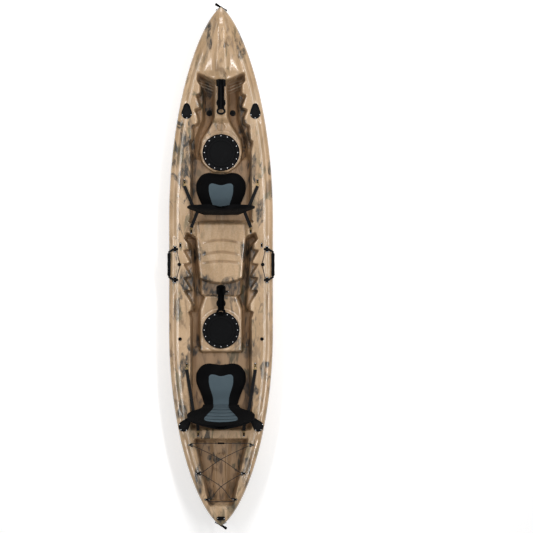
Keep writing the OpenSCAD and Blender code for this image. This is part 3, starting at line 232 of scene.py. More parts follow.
# The hull: one rotomoulded polyethylene shell, tan with brown, olive and black streaks swirled into it.
# Its deck is folded into foot wells with slanted foot steps, a console, seat wells and a tank well.
# The sections follow the solid: sizes are in millimetres until the grid is laid.
HALF_LEN, HALF_BEAM = 1975.0, 400.0
BOW_TAPER, STERN_TAPER, BOW_FULLNESS, STERN_FULLNESS = 1615, 1472, 0.69, 0.67
SHEER_Z, BOW_SHEER, STERN_SHEER, SHEER_POWER = 290, 95, 72, 2.4
LEVEL_KEEL, BOW_ROCKER, STERN_ROCKER, STEM_RUN, STEM_LIFT = 1000, 95, 85, 330, 150
FRONT_WELL_BOW, FRONT_WELL_AFT, REAR_WELL_BOW, REAR_WELL_AFT = 1430.0, 320.0, 240.0, -1255.0
TANK_BOW, TANK_AFT = -1310.0, -1835.0
FRONT_HATCH_Y, REAR_HATCH_Y = 878.0, -490.0
FOOT_Z, SHELF_Z, SEAT_Z, CONSOLE_Z, HATCH_Z = 110.0, 222.0, 140.0, 240.0, 205.0
PLATFORM_Z, TROUGH_Z, TANK_Z = 215.0, 150.0, 175.0
WALL_RUN, END_RUN, ROLL_W, ROLL_H = 18.0, 40.0, 36.0, 40.0
STEP_PITCH, STEP_COUNT, STEP_SLANT, STEP_RISE, STEP_FALL, STEP_FADE = 110.0, 4, 0.44, 0.6, 0.84, 60.0
FRONT_STEP_AFT, REAR_STEP_BOW, REAR_STEP_AFT = 850.0, 120.0, -320.0
HATCH_HOLE_R, ROD_HOLE_R, SCUPPER_R = 118.0, 24.0, 18.0
ROD_PLACES = ((262.0, 1182.0), (277.0, -1213.0))
SCUPPER_PLACE = (91.0, 1189.0)
RAMP_RUN, RAMP_H, RIDGE_AFT, RIDGE_BOW, RIDGE_PITCH, RIDGE_H = 85, 40, 1325, 1415, 22, 7
FORE_CROWN, FORE_RIB, PLATFORM_SWEEP, RAIL_COLUMNS = 42, 12, 32, 15
# Where a level changes, from bow to stern: the bow and aft end of the slope, and the level aft of it
FLOOR_SLOPES = ((840, 800, SEAT_Z), (310, 250, FOOT_Z), (-600, -640, SEAT_Z),
                (REAR_WELL_AFT - 5, TANK_BOW + 5, TANK_Z))
CENTRE_SLOPES = ((1150, 1100, HATCH_Z), (734, 724, SEAT_Z), (360, 320, PLATFORM_Z), (-85, -107, TROUGH_Z),
                 (-215, -237, HATCH_Z), (-647, -671, SEAT_Z), (REAR_WELL_AFT - 5, TANK_BOW + 5, TANK_Z + 12))
# Half widths of the console, the channel floor and the well, as (y, x)
CONSOLE_PLAN = np.array([
    (-1975, 8), (-1835, 26), (-1310, 62), (-1255, 130), (-671, 135), (-647, 152), (-333, 152), (-237, 118),
    (-215, 150), (-107, 150), (-85, 160), (240, 192), (320, 192), (360, 150), (724, 52), (734, 52), (763, 100),
    (808, 136), (878, 152), (968, 142), (1100, 64), (1150, 46), (1430, 46), (1975, 14)], float)
CHANNEL_PLAN = np.array([
    (-1975, 12), (-1835, 50), (-1310, 170), (-1255, 194), (-320, 186), (120, 212), (240, 216), (320, 216),
    (360, 194), (850, 194), (968, 182), (1100, 126), (1430, 118), (1975, 20)], float)
WELL_PLAN = np.array([
    (-1975, 20), (-1835, 76), (-1310, 216), (-1255, 236), (-420, 236), (-320, 292), (120, 296), (240, 266),
    (320, 240), (800, 236), (850, 262), (1100, 212), (1430, 180), (1975, 30)], float)


def eased(low, high, value):
    """Smoothstep: 0 below low, 1 above high, 3t^2 - 2t^3 between."""
    t = np.clip((value - low) / (high - low), 0, 1)
    return t * t * (3 - 2 * t)


def mixed(a, b, t):
    """a + (b - a) t"""
    return a + (b - a) * t


def window(y, low, high, run):
    """1 between low and high, with walls of that run."""
    return eased(low, low + run, y) * (1 - eased(high - run, high, y))


def aft_of(y, high, low):
    """0 forward of high, 1 aft of low."""
    return 1 - eased(low, high, y)


def plan(table, y):
    return np.interp(y, table[:, 0], table[:, 1])


def half_width(y):
    """Half beam times (1 - (1 - t)^2)^p, where t runs from the tip over the taper of that end."""
    t = np.clip(np.where(y > 0, (HALF_LEN - y) / BOW_TAPER, (HALF_LEN + y) / STERN_TAPER), 0, 1)
    return HALF_BEAM * (1 - (1 - t) ** 2) ** np.where(y > 0, BOW_FULLNESS, STERN_FULLNESS)


def sheer(y):
    """Height of the rail: z0 + rise (|y| / half length)^p."""
    return SHEER_Z + np.where(y > 0, BOW_SHEER, STERN_SHEER) * (np.abs(y) / HALF_LEN) ** SHEER_POWER


def end_part(y):
    """0 over the level keel, rising evenly to 1 at each tip."""
    return np.maximum(0, (np.abs(y) - LEVEL_KEEL) / (HALF_LEN - LEVEL_KEEL))


def keel(y):
    """Rocker times e^2, plus the lift of the stem times s^3, where e and s run to 1 at the tip."""
    stem = np.maximum(0, (np.abs(y) - HALF_LEN + STEM_RUN) / STEM_RUN)
    return np.where(y > 0, BOW_ROCKER, STERN_ROCKER) * end_part(y) ** 2 + STEM_LIFT * stem ** 3


def notch_row(y, aft):
    """Saw-tooth depth of one row of foot steps: a slow rise over each pitch, then a quick fall."""
    p = ((y - aft) / STEP_PITCH) % 1
    depth = np.minimum(1, p / STEP_RISE) * (1 - eased(STEP_RISE, STEP_FALL, p))
    return np.where((y > aft) & (y < aft + STEP_COUNT * STEP_PITCH), depth, 0)


def step_zone(y):
    return (window(y, REAR_STEP_AFT - STEP_FADE, REAR_STEP_BOW + 40, STEP_FADE)
            + window(y, FRONT_STEP_AFT - STEP_FADE, FRONT_STEP_AFT + STEP_COUNT * STEP_PITCH + STEP_FADE, STEP_FADE))


def notch_depth(y):
    """Foot steps along both rows, and the full width of the well outside them, eased over a few millimetres."""
    reach = np.linspace(-15, 15, 7)
    near = y[:, None] + reach
    stepped = np.where(step_zone(near) > 0.01, notch_row(near, REAR_STEP_AFT) + notch_row(near, FRONT_STEP_AFT), 1)
    return stepped @ (np.hanning(9)[1:-1] / np.hanning(9).sum())


def well_open(y):
    return (window(y, FRONT_WELL_AFT, FRONT_WELL_BOW, END_RUN) + window(y, REAR_WELL_AFT, REAR_WELL_BOW, END_RUN)
            + window(y, TANK_AFT, TANK_BOW, END_RUN))


def centre_open(y):
    return window(y, REAR_WELL_AFT, FRONT_WELL_BOW, END_RUN) + window(y, TANK_AFT, TANK_BOW, END_RUN)


def levelled(y, start, slopes):
    """The level start at the bow, eased to the next level down each slope."""
    level, before = start, start
    for bow, aft, after in slopes:
        level = level + (after - before) * aft_of(y, bow, aft)
        before = after
    return level


def deck_base(x, y, x0):
    """The deck without its wells: the sheer, and on the fore deck a crown times 1 - (x / x0)^2."""
    crown = FORE_CROWN * eased(FRONT_WELL_BOW - 120, FRONT_WELL_BOW + 160, y) * np.minimum(1, half_width(y) / 120)
    return sheer(y) + crown * (1 - np.minimum(1, x / x0) ** 2)


def rounded(controls, radius, steps=4):
    """Turns each inner column of controls (columns, stations, 3) into an arc: a quadratic curve from a point
    one radius before the corner to a point one radius after it."""
    before, corner, after = controls[:-2], controls[1:-1], controls[2:]

    def toward(other):
        gap = other - corner
        length = np.maximum(np.linalg.norm(gap, axis=-1, keepdims=True), 1e-6)
        return corner + gap * np.minimum(np.reshape(radius, (-1, 1, 1)) / length, 0.45)

    t = np.linspace(0, 1, steps)[:, None, None, None]
    arc = (1 - t) ** 2 * toward(before) + 2 * t * (1 - t) * corner + t ** 2 * toward(after)
    return np.concatenate([controls[:1], arc.transpose(1, 0, 2, 3).reshape(-1, *controls.shape[1:]), controls[-1:]])


def filled(columns, at, more):
    """Lays more columns, evenly spaced, between column at and the next."""
    t = np.linspace(0, 1, more + 2)[1:-1, None, None]
    return np.concatenate([columns[:at + 1], mixed(columns[at], columns[at + 1], t), columns[at + 1:]])


def columns_at(y, *pairs):
    """Stacks (x, lean, z) columns over the stations y."""
    return np.stack([np.stack([x + 0 * y, y + lean, z + 0 * y], -1) for x, lean, z in pairs])


def ridges(y, power=1):
    """Grip ridges on the ramp at the front heels: the upper half of a sine, to a power."""
    wave = np.maximum(0, np.sin(2 * np.pi * (y - RIDGE_AFT) / RIDGE_PITCH)) ** power
    return wave * window(y, RIDGE_AFT, RIDGE_BOW, 12)


def hull_half(y):
    """Half sections from the keel round the gunwale to the centreline of the deck, as columns over the stations."""
    w, zk, zs = half_width(y), keel(y), sheer(y)
    e = end_part(y) ** 1.4
    f, q, tunnel = mixed(0.56, 0.2, e), 2 / mixed(2.8, 1.35, e), 16 * (1 - e)
    kw = np.minimum(32, 0.1 * w)
    bottom = rounded(columns_at(y, (0, 0, zk), (kw, 0, zk), (mixed(kw, 0.78 * f * w, 0.5), 0, zk + tunnel),
                                (0.78 * f * w, 0, zk), (f * w, 0, zk)), (20, 60, 24), 3)
    zg = zs - ROLL_H
    bilge = columns_at(y, *[(w * (f + (1 - f) * np.sin(a) ** q), 0, zk + (zg - zk) * (1 - np.cos(a) ** q))
                            for a in np.radians(np.arange(9, 88, 9.0))])
    roll = np.minimum(ROLL_W, 0.35 * w)
    gunwale = columns_at(y, *[(w - roll * (1 - np.cos(a)), 0, zs - ROLL_H * (1 - np.sin(a)))
                              for a in np.radians(np.arange(0, 80, 15.0))])
    x0 = w - roll
    rin, c = plan(CHANNEL_PLAN, y), plan(CONSOLE_PLAN, y)
    rmin = rin + 2 * WALL_RUN + 6
    rout = np.maximum(plan(WELL_PLAN, y), rmin)
    r = mixed(rmin, rout, notch_depth(y))
    xm = np.minimum(rout + 8, 0.965 * x0)
    x1 = np.minimum(r, 0.93 * x0)
    x2 = np.minimum(r - WALL_RUN, 0.86 * x0)
    x3 = np.minimum(rin + WALL_RUN, 0.78 * x0)
    x4 = np.minimum(rin, 0.70 * x0)
    x5 = np.minimum(np.minimum(c + WALL_RUN, 0.62 * x0), 0.93 * x4)
    x6 = np.minimum(np.minimum(c, 0.55 * x0), 0.93 * x5)
    opened = well_open(y)
    floor_z = levelled(y, FOOT_Z, FLOOR_SLOPES)
    shelf = mixed(floor_z, np.minimum(SHELF_Z, zs), step_zone(y))
    floor_z = floor_z + RAMP_H * np.clip((y - RIDGE_AFT) / RAMP_RUN, 0, 1) + RIDGE_H * ridges(y)
    tilt = STEP_SLANT * (window(y, REAR_STEP_AFT - 240, REAR_WELL_BOW + 200, 240)
                         + window(y, FRONT_STEP_AFT - 200, FRONT_WELL_BOW + 260, 240))

    def lean(x):
        return tilt * np.maximum(0, x - c)

    def base(x):
        return deck_base(x, y + lean(x), x0)

    rib = FORE_RIB * eased(FRONT_WELL_BOW - 20, FRONT_WELL_BOW + 90, y) * (1 - eased(HALF_LEN - 330, HALF_LEN - 170, y))
    plain = base(0 * y) + rib
    centre = mixed(plain, levelled(y, CONSOLE_Z, CENTRE_SLOPES), centre_open(y))
    xl = mixed(x1, x2, 0.3)
    rail = columns_at(y, *[(mixed(x0, xm, t), lean(xm) * t, mixed(deck_base(x0, y, x0), base(xm), t))
                           for t in np.linspace(0, 1, RAIL_COLUMNS)])
    last = (RAIL_COLUMNS - 2) / (RAIL_COLUMNS - 1)
    deck = columns_at(
        y, (mixed(x0, xm, last), lean(xm) * last, mixed(deck_base(x0, y, x0), base(xm), last)),
        (xm, lean(xm), base(xm)), (x1, lean(x1), base(x1)),
        (xl, lean(xl), mixed(base(x1), mixed(base(x2), shelf, opened), 0.2)),
        (x2, lean(x2), mixed(base(x2), shelf, opened)), (x3, lean(x3), mixed(base(x3), shelf, opened)),
        (x4, lean(x4), mixed(base(x4), floor_z, opened)), (x5, lean(x5), mixed(base(x5), floor_z, opened)),
        (x6, 0, centre), (0, 0, centre))
    deck = filled(filled(rounded(deck, (4, 9, 9, 14, 10, 14, 14, 9), 3), 24, 16), 18, 5)
    flat = deck[-17:]
    bowed = PLATFORM_SWEEP * (1 - (flat[..., 0] / x6) ** 2) * window(y, -190, -10, 60)
    flat[..., 2] = mixed(plain, levelled(y + bowed, CONSOLE_Z, CENTRE_SLOPES), centre_open(y))
    return np.concatenate([bottom, bilge, gunwale, rail[:-2], deck])


FITTED = ((1080, 1290), (-230, 260), (-1330, -1100))
BEAD_IN, BEAD_H = 64, 5
RECESS_Y = 1074
GROOVES = ((204, 0.0012), (112, 0.0012), (40, 0.0008))
RING_RADII = (146, 172)


def bell(distance, width):
    """exp(-(d / w)^2)"""
    return np.exp(-(distance / width) ** 2)


def bead_along(x, y):
    """A bell-shaped bead inside the outline."""
    return BEAD_H * bell(np.abs(x) - half_width(y) + BEAD_IN, 6) * window(y, -1700, 1720, 200)


def relief(x, y, z):
    """Moulded detail on the deck: the hood on the fore deck, a bead along each rail, the round recess, grooves on
    the platform, rings round the hatches and the panel in the tank well."""
    ax = np.abs(x)
    deck = z > sheer(y) - 6
    hood_w = np.interp(y, (1430, 1500, 1700, 1860, 1900), (150, 158, 92, 34, 20))
    hood = 13 * (1 - eased(hood_w - 22, hood_w, ax)) * window(y, 1450, 1890, 50)
    fold = -6 * eased(half_width(y) - 62, half_width(y) - 34, ax) * np.clip((z - sheer(y)) / 40 + 1, 0, 1) ** 2
    fold = fold * window(y, -1720, 1740, 200) * (1 - sum(window(y, *reach, 50) for reach in FITTED))
    out = np.hypot(x, y - RECESS_Y)
    recess = np.where((np.abs(y - RECESS_Y) < 46) & (z > 150), -6 * (1 - eased(26, 33, out)) + 2 * bell(out - 36, 4), 0)
    groove = sum(-9 * bell(y - at + bow * x ** 2, 8) * (1 - eased(110, 150, ax)) for at, bow in GROOVES)
    platform = np.where((np.abs(z - PLATFORM_Z) < 3) & (np.abs(y - 130) < 190), groove, 0)
    rings = sum(-5 * bell(np.hypot(x, y - at) - r, 4) for at in (FRONT_HATCH_Y, REAR_HATCH_Y) for r in RING_RADII)
    panel = np.where((z > TANK_Z) & (z < 200), 6 - 14 * window(y, -1700, -1440, 14) * (1 - eased(30, 38, ax)), 0)
    return (np.where(deck, hood + bead_along(x, y), 0) + fold + recess + platform
            + np.where(np.abs(z - HATCH_Z) < 4, rings, 0) + panel)


coarse = np.linspace(-HALF_LEN + 0.2, HALF_LEN - 0.2, 230)
fine = np.concatenate([np.arange(-430, 380, 5.0), np.arange(690, 1475, 5.0), np.arange(-690, -620, 5.0),
                       np.arange(-1330, -1180, 5.0), np.arange(-1850, -1780, 8.0)])
stations = np.unique(np.round(np.concatenate([coarse, fine]), 1))
stations = stations[np.concatenate([[True], np.diff(stations) > 2.5])]
half = hull_half(stations)
raised = relief(half[..., 0], half[..., 1], half[..., 2])
# Marks for the paint: painted shade that darkens the wells, foot steps, moulded grooves and recesses with depth and
# also makes them matt, and a painted highlight, a paler colour along the rail beads and heel ridges.
DECK_COLUMN = 26
on_deck = (np.arange(len(half)) > DECK_COLUMN)[:, None]
below = sheer(half[..., 1]) - half[..., 2]
notched = half[..., 0] > plan(CHANNEL_PLAN, half[..., 1]) + 8
# Painted shade: a mark that rises with depth below the rail, fully in the foot steps, and in moulded grooves and
# recesses; it darkens the colour and makes the plastic matt.
deep = np.maximum(np.where(notched, np.clip(below / 75, 0, 1) * 0.9, np.clip((below - 72) / 110, 0, 1)),
                  np.clip(-raised / 12, 0, 0.6)) * on_deck
# Painted highlight: a mark along the rail beads and the heel ridges that paints them paler.
worn = bead_along(half[..., 0], half[..., 1]) / BEAD_H * (below < 20)
worn = np.maximum(worn, ridges(stations + 0 * below, 2) * (below > 60) * (half[..., 0] > 52) * on_deck)
half[..., 2] += raised
ring = np.concatenate([half, half[::-1] * (-1, 1, 1)]).transpose(1, 0, 2) / 1000
deep, worn = (np.concatenate([mark, mark[::-1]]).T for mark in (deep, worn))


def clear_of_openings(middle):
    """Faces outside the hatch holes, the rod holes and the scuppers, by their centres."""
    x, y, z = (middle * 1000).T
    shut = np.ones(len(x), bool)
    for place in (FRONT_HATCH_Y, REAR_HATCH_Y):
        shut &= ~((np.hypot(x, y - place) < HATCH_HOLE_R + 4) & (z > HATCH_Z - 30))
    for px, py in ROD_PLACES:
        shut &= ~((np.hypot(np.abs(x) - px, y - py) < ROD_HOLE_R) & (z > 250))
    px, py = SCUPPER_PLACE
    return shut & ~((np.hypot(np.abs(x) - px, y - py) < SCUPPER_R) & (z < FOOT_Z + 10))


# Dark swirls in the plastic, and in the front foot wells also painted shadow: x and y of the middle, and the reach
# across and along, in metres
DARK_SWIRLS_AND_SHADOWS = ((-0.10, 1.81, 0.03, 0.10), (-0.08, 1.70, 0.025, 0.08), (0.15, 1.73, 0.035, 0.13), (0.18, -1.58, 0.04, 0.13),
          (-0.08, -1.78, 0.03, 0.08), (-0.16, -1.60, 0.03, 0.10), (-0.12, 1.33, 0.05, 0.10), (-0.10, 1.20, 0.035, 0.12),
          (0.15, 1.23, 0.03, 0.07), (0.165, 1.09, 0.03, 0.06), (0.20, 0.98, 0.03, 0.08), (-0.25, 0.94, 0.05, 0.08),
          (-0.24, 0.82, 0.06, 0.08), (-0.28, 0.74, 0.05, 0.10), (-0.21, 0.66, 0.03, 0.12), (0.24, 0.75, 0.03, 0.10),
          (-0.02, -0.16, 0.20, 0.075), (-0.24, -0.13, 0.07, 0.13), (0.24, -0.11, 0.07, 0.12), (-0.20, 0.10, 0.06, 0.08),
          (0.21, 0.12, 0.05, 0.08), (-0.30, -1.12, 0.04, 0.10), (0.30, 0.42, 0.03, 0.09), (-0.20, -0.61, 0.05, 0.07),
          (0.21, -0.65, 0.06, 0.09), (-0.28, -0.77, 0.04, 0.09), (0.34, -0.82, 0.03, 0.09), (0.23, -0.93, 0.05, 0.10),
          (-0.06, -1.48, 0.05, 0.05))


def hull_paint(tone):
    """Tan plastic with streaks drawn along the boat: noises of pale sand, brown, olive and black, and dark swirls at
    set places, those in the front foot wells also painted shadow; painted shade, brown and darker with depth in the
    wells, grooves and scupper tubes, where the plastic is also matt; and a painted highlight, paler along beads and
    ridges."""
    x, y, _ = tone.axes()
    deep = tone.node("Attribute", {"attribute_name": "deep"}, out=2)
    worn = tone.node("Attribute", {"attribute_name": "worn"}, out=2)
    sand = tone.shaken(1.0, 5, (11, 3.2, 8), (0.4, 0.1, 0), 0.4).step(0.34, 0.66)
    colour = sand.paint((0.61, 0.415, 0.245, 1), (0.47, 0.31, 0.172, 1))
    pale = tone.shaken(1.0, 4, (14, 2.8, 8), (3.1, 2.2, 0), 0.5).step(0.52, 0.68)
    colour = (pale * 0.6).paint(colour, (0.70, 0.515, 0.34, 1))
    zone = tone.shaken(1.0, 2, (3.2, 1.7, 3), (2.6, 8.4, 0)).step(0.38, 0.62)
    wobble = tone.shaken(1.0, 6, (15, 7, 10), (7.7, 4.0, 0), 1.2)
    brown = tone.shaken(1.0, 6, (16, 4.6, 12), (1.7, 5.0, 0), 1.1).step(0.53, 0.64)
    # The brown and olive streaks also thicken with depth: part of the painted shade.
    colour = (brown * (0.13 + zone * 0.6 + deep * 0.3)).paint(colour, (0.19, 0.118, 0.064, 1))
    olive = tone.shaken(1.0, 6, (14, 4.4, 12), (5.1, 0.7, 0), 1.2).step(0.55, 0.65)
    colour = (olive * (0.13 + zone * 0.6 + deep * 0.3)).paint(colour, (0.140, 0.126, 0.070, 1))
    soot = tone.shaken(1.0, 6, (18, 6.5, 14), (9.3, 3.3, 0), 1.3).step(0.57, 0.66)
    dark = soot * zone * 0.85
    fleck = tone.shaken(1.0, 5, (38, 17, 20), (4.4, 6.1, 0), 0.6).step(0.40, 0.58)
    # Dark swirls at set places; those in the front foot wells also stand for painted shadow.
    for px, py, rx, ry in DARK_SWIRLS_AND_SHADOWS:
        across, along = (x - px) * (1 / rx), (y - py) * (1 / ry)
        away = across * across + along * along
        dark = dark.larger((away + (wobble - 0.5) * 7.5).step(1.5, 0.1) * (0.5 + fleck * 0.45))
    colour = dark.paint(colour, (0.030, 0.032, 0.031, 1))
    # Painted shade: the colour is multiplied towards dark brown with depth.
    colour = tone.node("Mix", {"data_type": "RGBA", "blend_type": "MULTIPLY"},
                       {0: deep * 0.92, 6: colour, 7: (0.42, 0.34, 0.26, 1)}, out=2)
    # Painted highlight: beads and ridges painted paler.
    colour = (worn * 0.45).paint(colour, (0.78, 0.66, 0.52, 1))
    peel = tone.shaken(240, 2)
    wave = tone.shaken(14, 2)
    return {"Base Color": colour, "Roughness": 0.19 + tone.shaken(60, 3) * 0.14 + deep * 0.4,
            "Specular IOR Level": 0.5, "Coat Weight": 0.7 - deep * 0.7, "Coat Roughness": 0.1,
            "Normal": tone.bump(peel * 0.2 + wave * 0.6, 0.001, 0.4)}


hull_skin = surface("hull_skin", ring, finish("swirled_plastic", hull_paint), "hull", keep=clear_of_openings,
                    marks={"deep": deep, "worn": worn})
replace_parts(hull_skin, "hull_shell")


# The scuppers: two drain tubes, moulded with the hull, that join the floor of the front wells to the bottom
# and have a rolled lip at the top.
around = np.radians(np.linspace(0, 360, 49))
# Painted shade inside the scupper tubes, through the same depth mark as the wells.
SCUPPER_SHADE = 0.5
TUBE = np.array([(21, 111.0), (20, 112.4), (18.4, 112.8), (17.6, 111.5), (17.4, 108), (17.4, 16), (18.5, 11)])
for side, hand in ((-1, "port"), (1, "starboard")):
    tube = np.stack([side * SCUPPER_PLACE[0] + TUBE[:, :1] * np.cos(around),
                     SCUPPER_PLACE[1] + TUBE[:, :1] * np.sin(around), TUBE[:, 1:] + 0 * around], -1)
    surface(hand + "_scupper_tube", tube / 1000, hull_skin.data.materials[0], "hull",
            marks={"deep": SCUPPER_SHADE + 0 * tube[..., 0]})


# Black and grey moulded fittings: glass-filled nylon hatch rims, lids, rod holders, rests, eyes and grips,
# with a fine spark-eroded grain and a little dust in it.
def nylon(tone, tint, rough):
    """Dull plastic of that tint, greyed by dust in patches."""
    dust = tone.shaken(26, 4).step(0.5, 0.75)
    colour = (dust * 0.35).paint((*tint, 1), tuple(1.9 * k + 0.002 for k in tint) + (1,))
    grain = tone.shaken(900, 2)
    return {"Base Color": colour, "Roughness": rough + tone.shaken(45, 3) * 0.16, "Specular IOR Level": 0.06,
            "Normal": tone.bump(grain, 0.0004, 0.5)}


def brushed(tone, tint, rough):
    """Metal with fine lines across it."""
    lines = tone.shaken(420, 3, (1, 8, 1))
    return {"Base Color": lines.step(0.3, 0.7).paint(tuple(0.8 * k for k in tint) + (1,), (*tint, 1)), "Metallic": 1.0,
            "Roughness": rough + lines * 0.18, "Normal": tone.bump(lines, 0.0002, 0.4)}


fitting_finish = {
    "black_plastic": finish("black_nylon", lambda tone: nylon(tone, (0.0032, 0.0034, 0.004), 0.40)),
    "grey_plastic": finish("charcoal_nylon", lambda tone: nylon(tone, (0.0036, 0.0038, 0.0045), 0.42)),
    "rubber": finish("soft_rubber", lambda tone: nylon(tone, (0.010, 0.010, 0.0105), 0.60)),
    "steel": finish("stainless_steel", lambda tone: brushed(tone, (0.86, 0.86, 0.87), 0.36)),
    "brass": finish("polished_brass", lambda tone: brushed(tone, (0.50, 0.36, 0.16), 0.32)),
}
for part in frame["record"]["subparts"]:
    if part["material_slot"] in fitting_finish:
        mesh = nodes[part["node"]].data
        mesh.materials.clear()
        mesh.materials.append(fitting_finish[part["material_slot"]])


# The cords: 5 mm shock cord, a rubber core in a braided black sleeve. One cord laces the tank well,
# one holds a paddle along each rail, and a loop carries the toggle at each end.
def braid(tone):
    """Two sets of yarns wound against each other round the cord, from its own map: angle across, length along."""
    laid = tone.node("UVMap")
    around, along = (tone.node("SeparateXYZ", links={"Vector": laid}, out=k) for k in range(2))
    left = (around * 50.3 + along * 2200).sin()
    right = (around * 50.3 - along * 2200).sin()
    fleck = (left * right).step(0.55, 0.9)
    return {"Base Color": (fleck * 0.35).paint((0.012, 0.012, 0.013, 1), (0.10, 0.10, 0.10, 1)), "Roughness": 0.72,
            "Normal": tone.bump(left.larger(right), 0.0004, 0.6)}


def flowing(points, steps):
    """A Catmull-Rom curve through the points, with that many steps on each span."""
    p = np.concatenate([[2 * points[0] - points[1]], points, [2 * points[-1] - points[-2]]])
    t = np.linspace(0, 1, steps, endpoint=False)[None, :, None]
    a, b, c, d = (p[k:len(p) - 3 + k, None] for k in range(4))
    span = 0.5 * (2 * b + (c - a) * t + (2 * a - 5 * b + 4 * c - d) * t ** 2 + (3 * b - a - 3 * c + d) * t ** 3)
    return np.concatenate([span.reshape(-1, 3), points[-1:]])


def swept(path, profile, up):
    """Carries a closed profile of (across, out) points along a path; across is square to the path and to up."""
    t = np.gradient(path, axis=0)
    t /= np.linalg.norm(t, axis=1, keepdims=True)
    side = np.cross(t, up)
    side /= np.linalg.norm(side, axis=1, keepdims=True)
    out = np.cross(side, t)
    grid = path[:, None] + profile[None, :, :1] * side[:, None] + profile[None, :, 1:] * out[:, None]
    ends = grid.mean(1, keepdims=True) + 0 * grid
    return np.concatenate([ends[:1], grid, ends[-1:]])


def lengthwise(path, columns):
    """A map for a swept grid: share of the way round, and metres along the path."""
    run = np.concatenate([[0], np.cumsum(np.linalg.norm(np.diff(path, axis=0), axis=1))])
    run = np.concatenate([run[:1], run, run[-1:]])
    return np.stack(np.meshgrid(np.linspace(0, 1, columns), run), -1)


turn = np.radians(np.linspace(0, 360, 13))
CORD_R = 0.0025
round_cord = CORD_R * np.stack([np.cos(turn), np.sin(turn)], -1)
braided = finish("braided_cord", braid)


def shock_cord(name, points, body, node, up=(0, 0, 1)):
    path = flowing(np.array(points) / 1000, 5)
    made = surface(name, swept(path, round_cord, up), braided, body, lengthwise(path, 13))
    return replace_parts(made, node)


EYE_TURN = np.array([(36, 13), (13, 13), (4, 9.4), (0, 0), (4, -9.4), (13, -13), (36, -13)])
LACE_EYES = ((233.872, -1364, 326.816), (173.375, -1581, 339.409), (106.552, -1778, 353.151))


def laced(side, row, way):
    """The turn of the cord round one eye, entered from one side of it."""
    x, y, z = LACE_EYES[row]
    return [(side * (x - across), y + way * along, z) for across, along in EYE_TURN]


crossings = ((0, -1472.5, 333.113), (0, -1679.5, 346.28))
lifted = [(x, y, z + 7) for x, y, z in crossings]
lace = [(10, -1351, 326.816), *laced(1, 0, 1), crossings[0], *laced(-1, 1, 1), crossings[1], *laced(1, 2, 1),
        *laced(-1, 2, -1), lifted[1], *laced(1, 1, -1), lifted[0], *laced(-1, 0, -1), (-10, -1351, 326.816)]
shock_cord("tank_well_cord", lace, "hull", "tank_bungee")
PADDLE_RUN = [(335.5, 129), (335.5, 117), (331.5, 89), (314.652, 25.965), (310.654, 22.842), (308.162, 17.951),
              (308.162, 12.049), (310.654, 7.158), (314.652, 4.035), (331.5, -59), (335.5, -87), (335.5, -99)]
PADDLE_Z = 295.101
for side, name in ((-1, "port"), (1, "starboard")):
    shock_cord(name + "_paddle_cord", [(side * x, y, PADDLE_Z) for x, y in PADDLE_RUN], "hull", name + "_paddle_bungee")
TOGGLE_LEG = np.array([(28, 0, 0), (33, 1, 0), (37.5, 5, 0), (39.5, 12, 0), (37, 20, 0), (24, 34, 1.5), (11, 46, 3),
                       (5.5, 53, 3.4), (4.9, 62, 3.4), (4.9, 76, 3.4)], float)
TOGGLE_DROOP = np.radians(58)
loop = np.concatenate([TOGGLE_LEG[::-1] * (-1, 1, 1), [(0, 0, 0)], TOGGLE_LEG * (1, 1, -1)])
drooped = np.stack([loop[:, 0], loop[:, 1] * np.cos(TOGGLE_DROOP) + loop[:, 2] * np.sin(TOGGLE_DROOP),
                    loop[:, 2] * np.cos(TOGGLE_DROOP) - loop[:, 1] * np.sin(TOGGLE_DROOP)], -1)
for end, way, height in (("bow", 1, 300.0), ("stern", -1, 277.0)):
    hung = drooped * (way, way, 1) + (0, way * 1957.0, height)
    shock_cord(end + "_toggle_loop", hung, end + "_pull", end + "_toggle_cord",
               (0, np.sin(TOGGLE_DROOP) * way, np.cos(TOGGLE_DROOP)))


# The seats: stitched pads of closed-cell foam under black knitted polyester, each with a slate panel in the
# middle, and a backrest of the same make that is strapped to eyes on the rails.
def knit(tone):
    """Cloth woven in fine rows along the piece's own axes: slate where the mark "panel", the distance in millimetres
    inside the panel's edge, is above 0, and black outside it."""
    x, y, z = tone.axes()
    inside = tone.node("Attribute", {"attribute_name": "panel"}, out=2).step(-0.8, 0.8)
    weave = (x * 2200).sin() * (y * 2200 + z * 2200).sin()
    fuzz = tone.shaken(300, 3)
    faded = tone.shaken(9, 3).step(0.4, 0.75) * 0.45
    black = faded.paint((0.0034, 0.0034, 0.0038, 1), (0.0075, 0.0075, 0.008, 1))
    slate = faded.paint((0.092, 0.128, 0.150, 1), (0.112, 0.152, 0.178, 1))
    return {"Base Color": inside.paint(black, slate), "Roughness": 0.88, "Specular IOR Level": 0.06,
            "Sheen Weight": 0.012, "Sheen Roughness": 0.5, "Normal": tone.bump(weave * 0.5 + fuzz, 0.0009, 0.55)}


def cornered(a, b, radius):
    """Distance inside two edges that lie a and b away, with the corner between them rounded."""
    near = np.hypot(np.maximum(radius - a, 0), np.maximum(radius - b, 0))
    return np.minimum(np.minimum(a, b), np.where((a < radius) & (b < radius), radius - near, np.inf))


padded_knit = finish("padded_knit", knit)
PAD_W, PAD_LEN, PAD_H, PAD_EDGE, PAD_DIP, PAD_CORNER = 384.0, 316.0, 46.0, 12.0, 12.0, 58.0
OFF_PANEL = -20
SEAT_GAP = 0.4
# Name, place of the backrest's foot along the boat, and its lean back in degrees
SEATS = (("front", 403.0, -5.0), ("rear", -1071.0, 22.0))


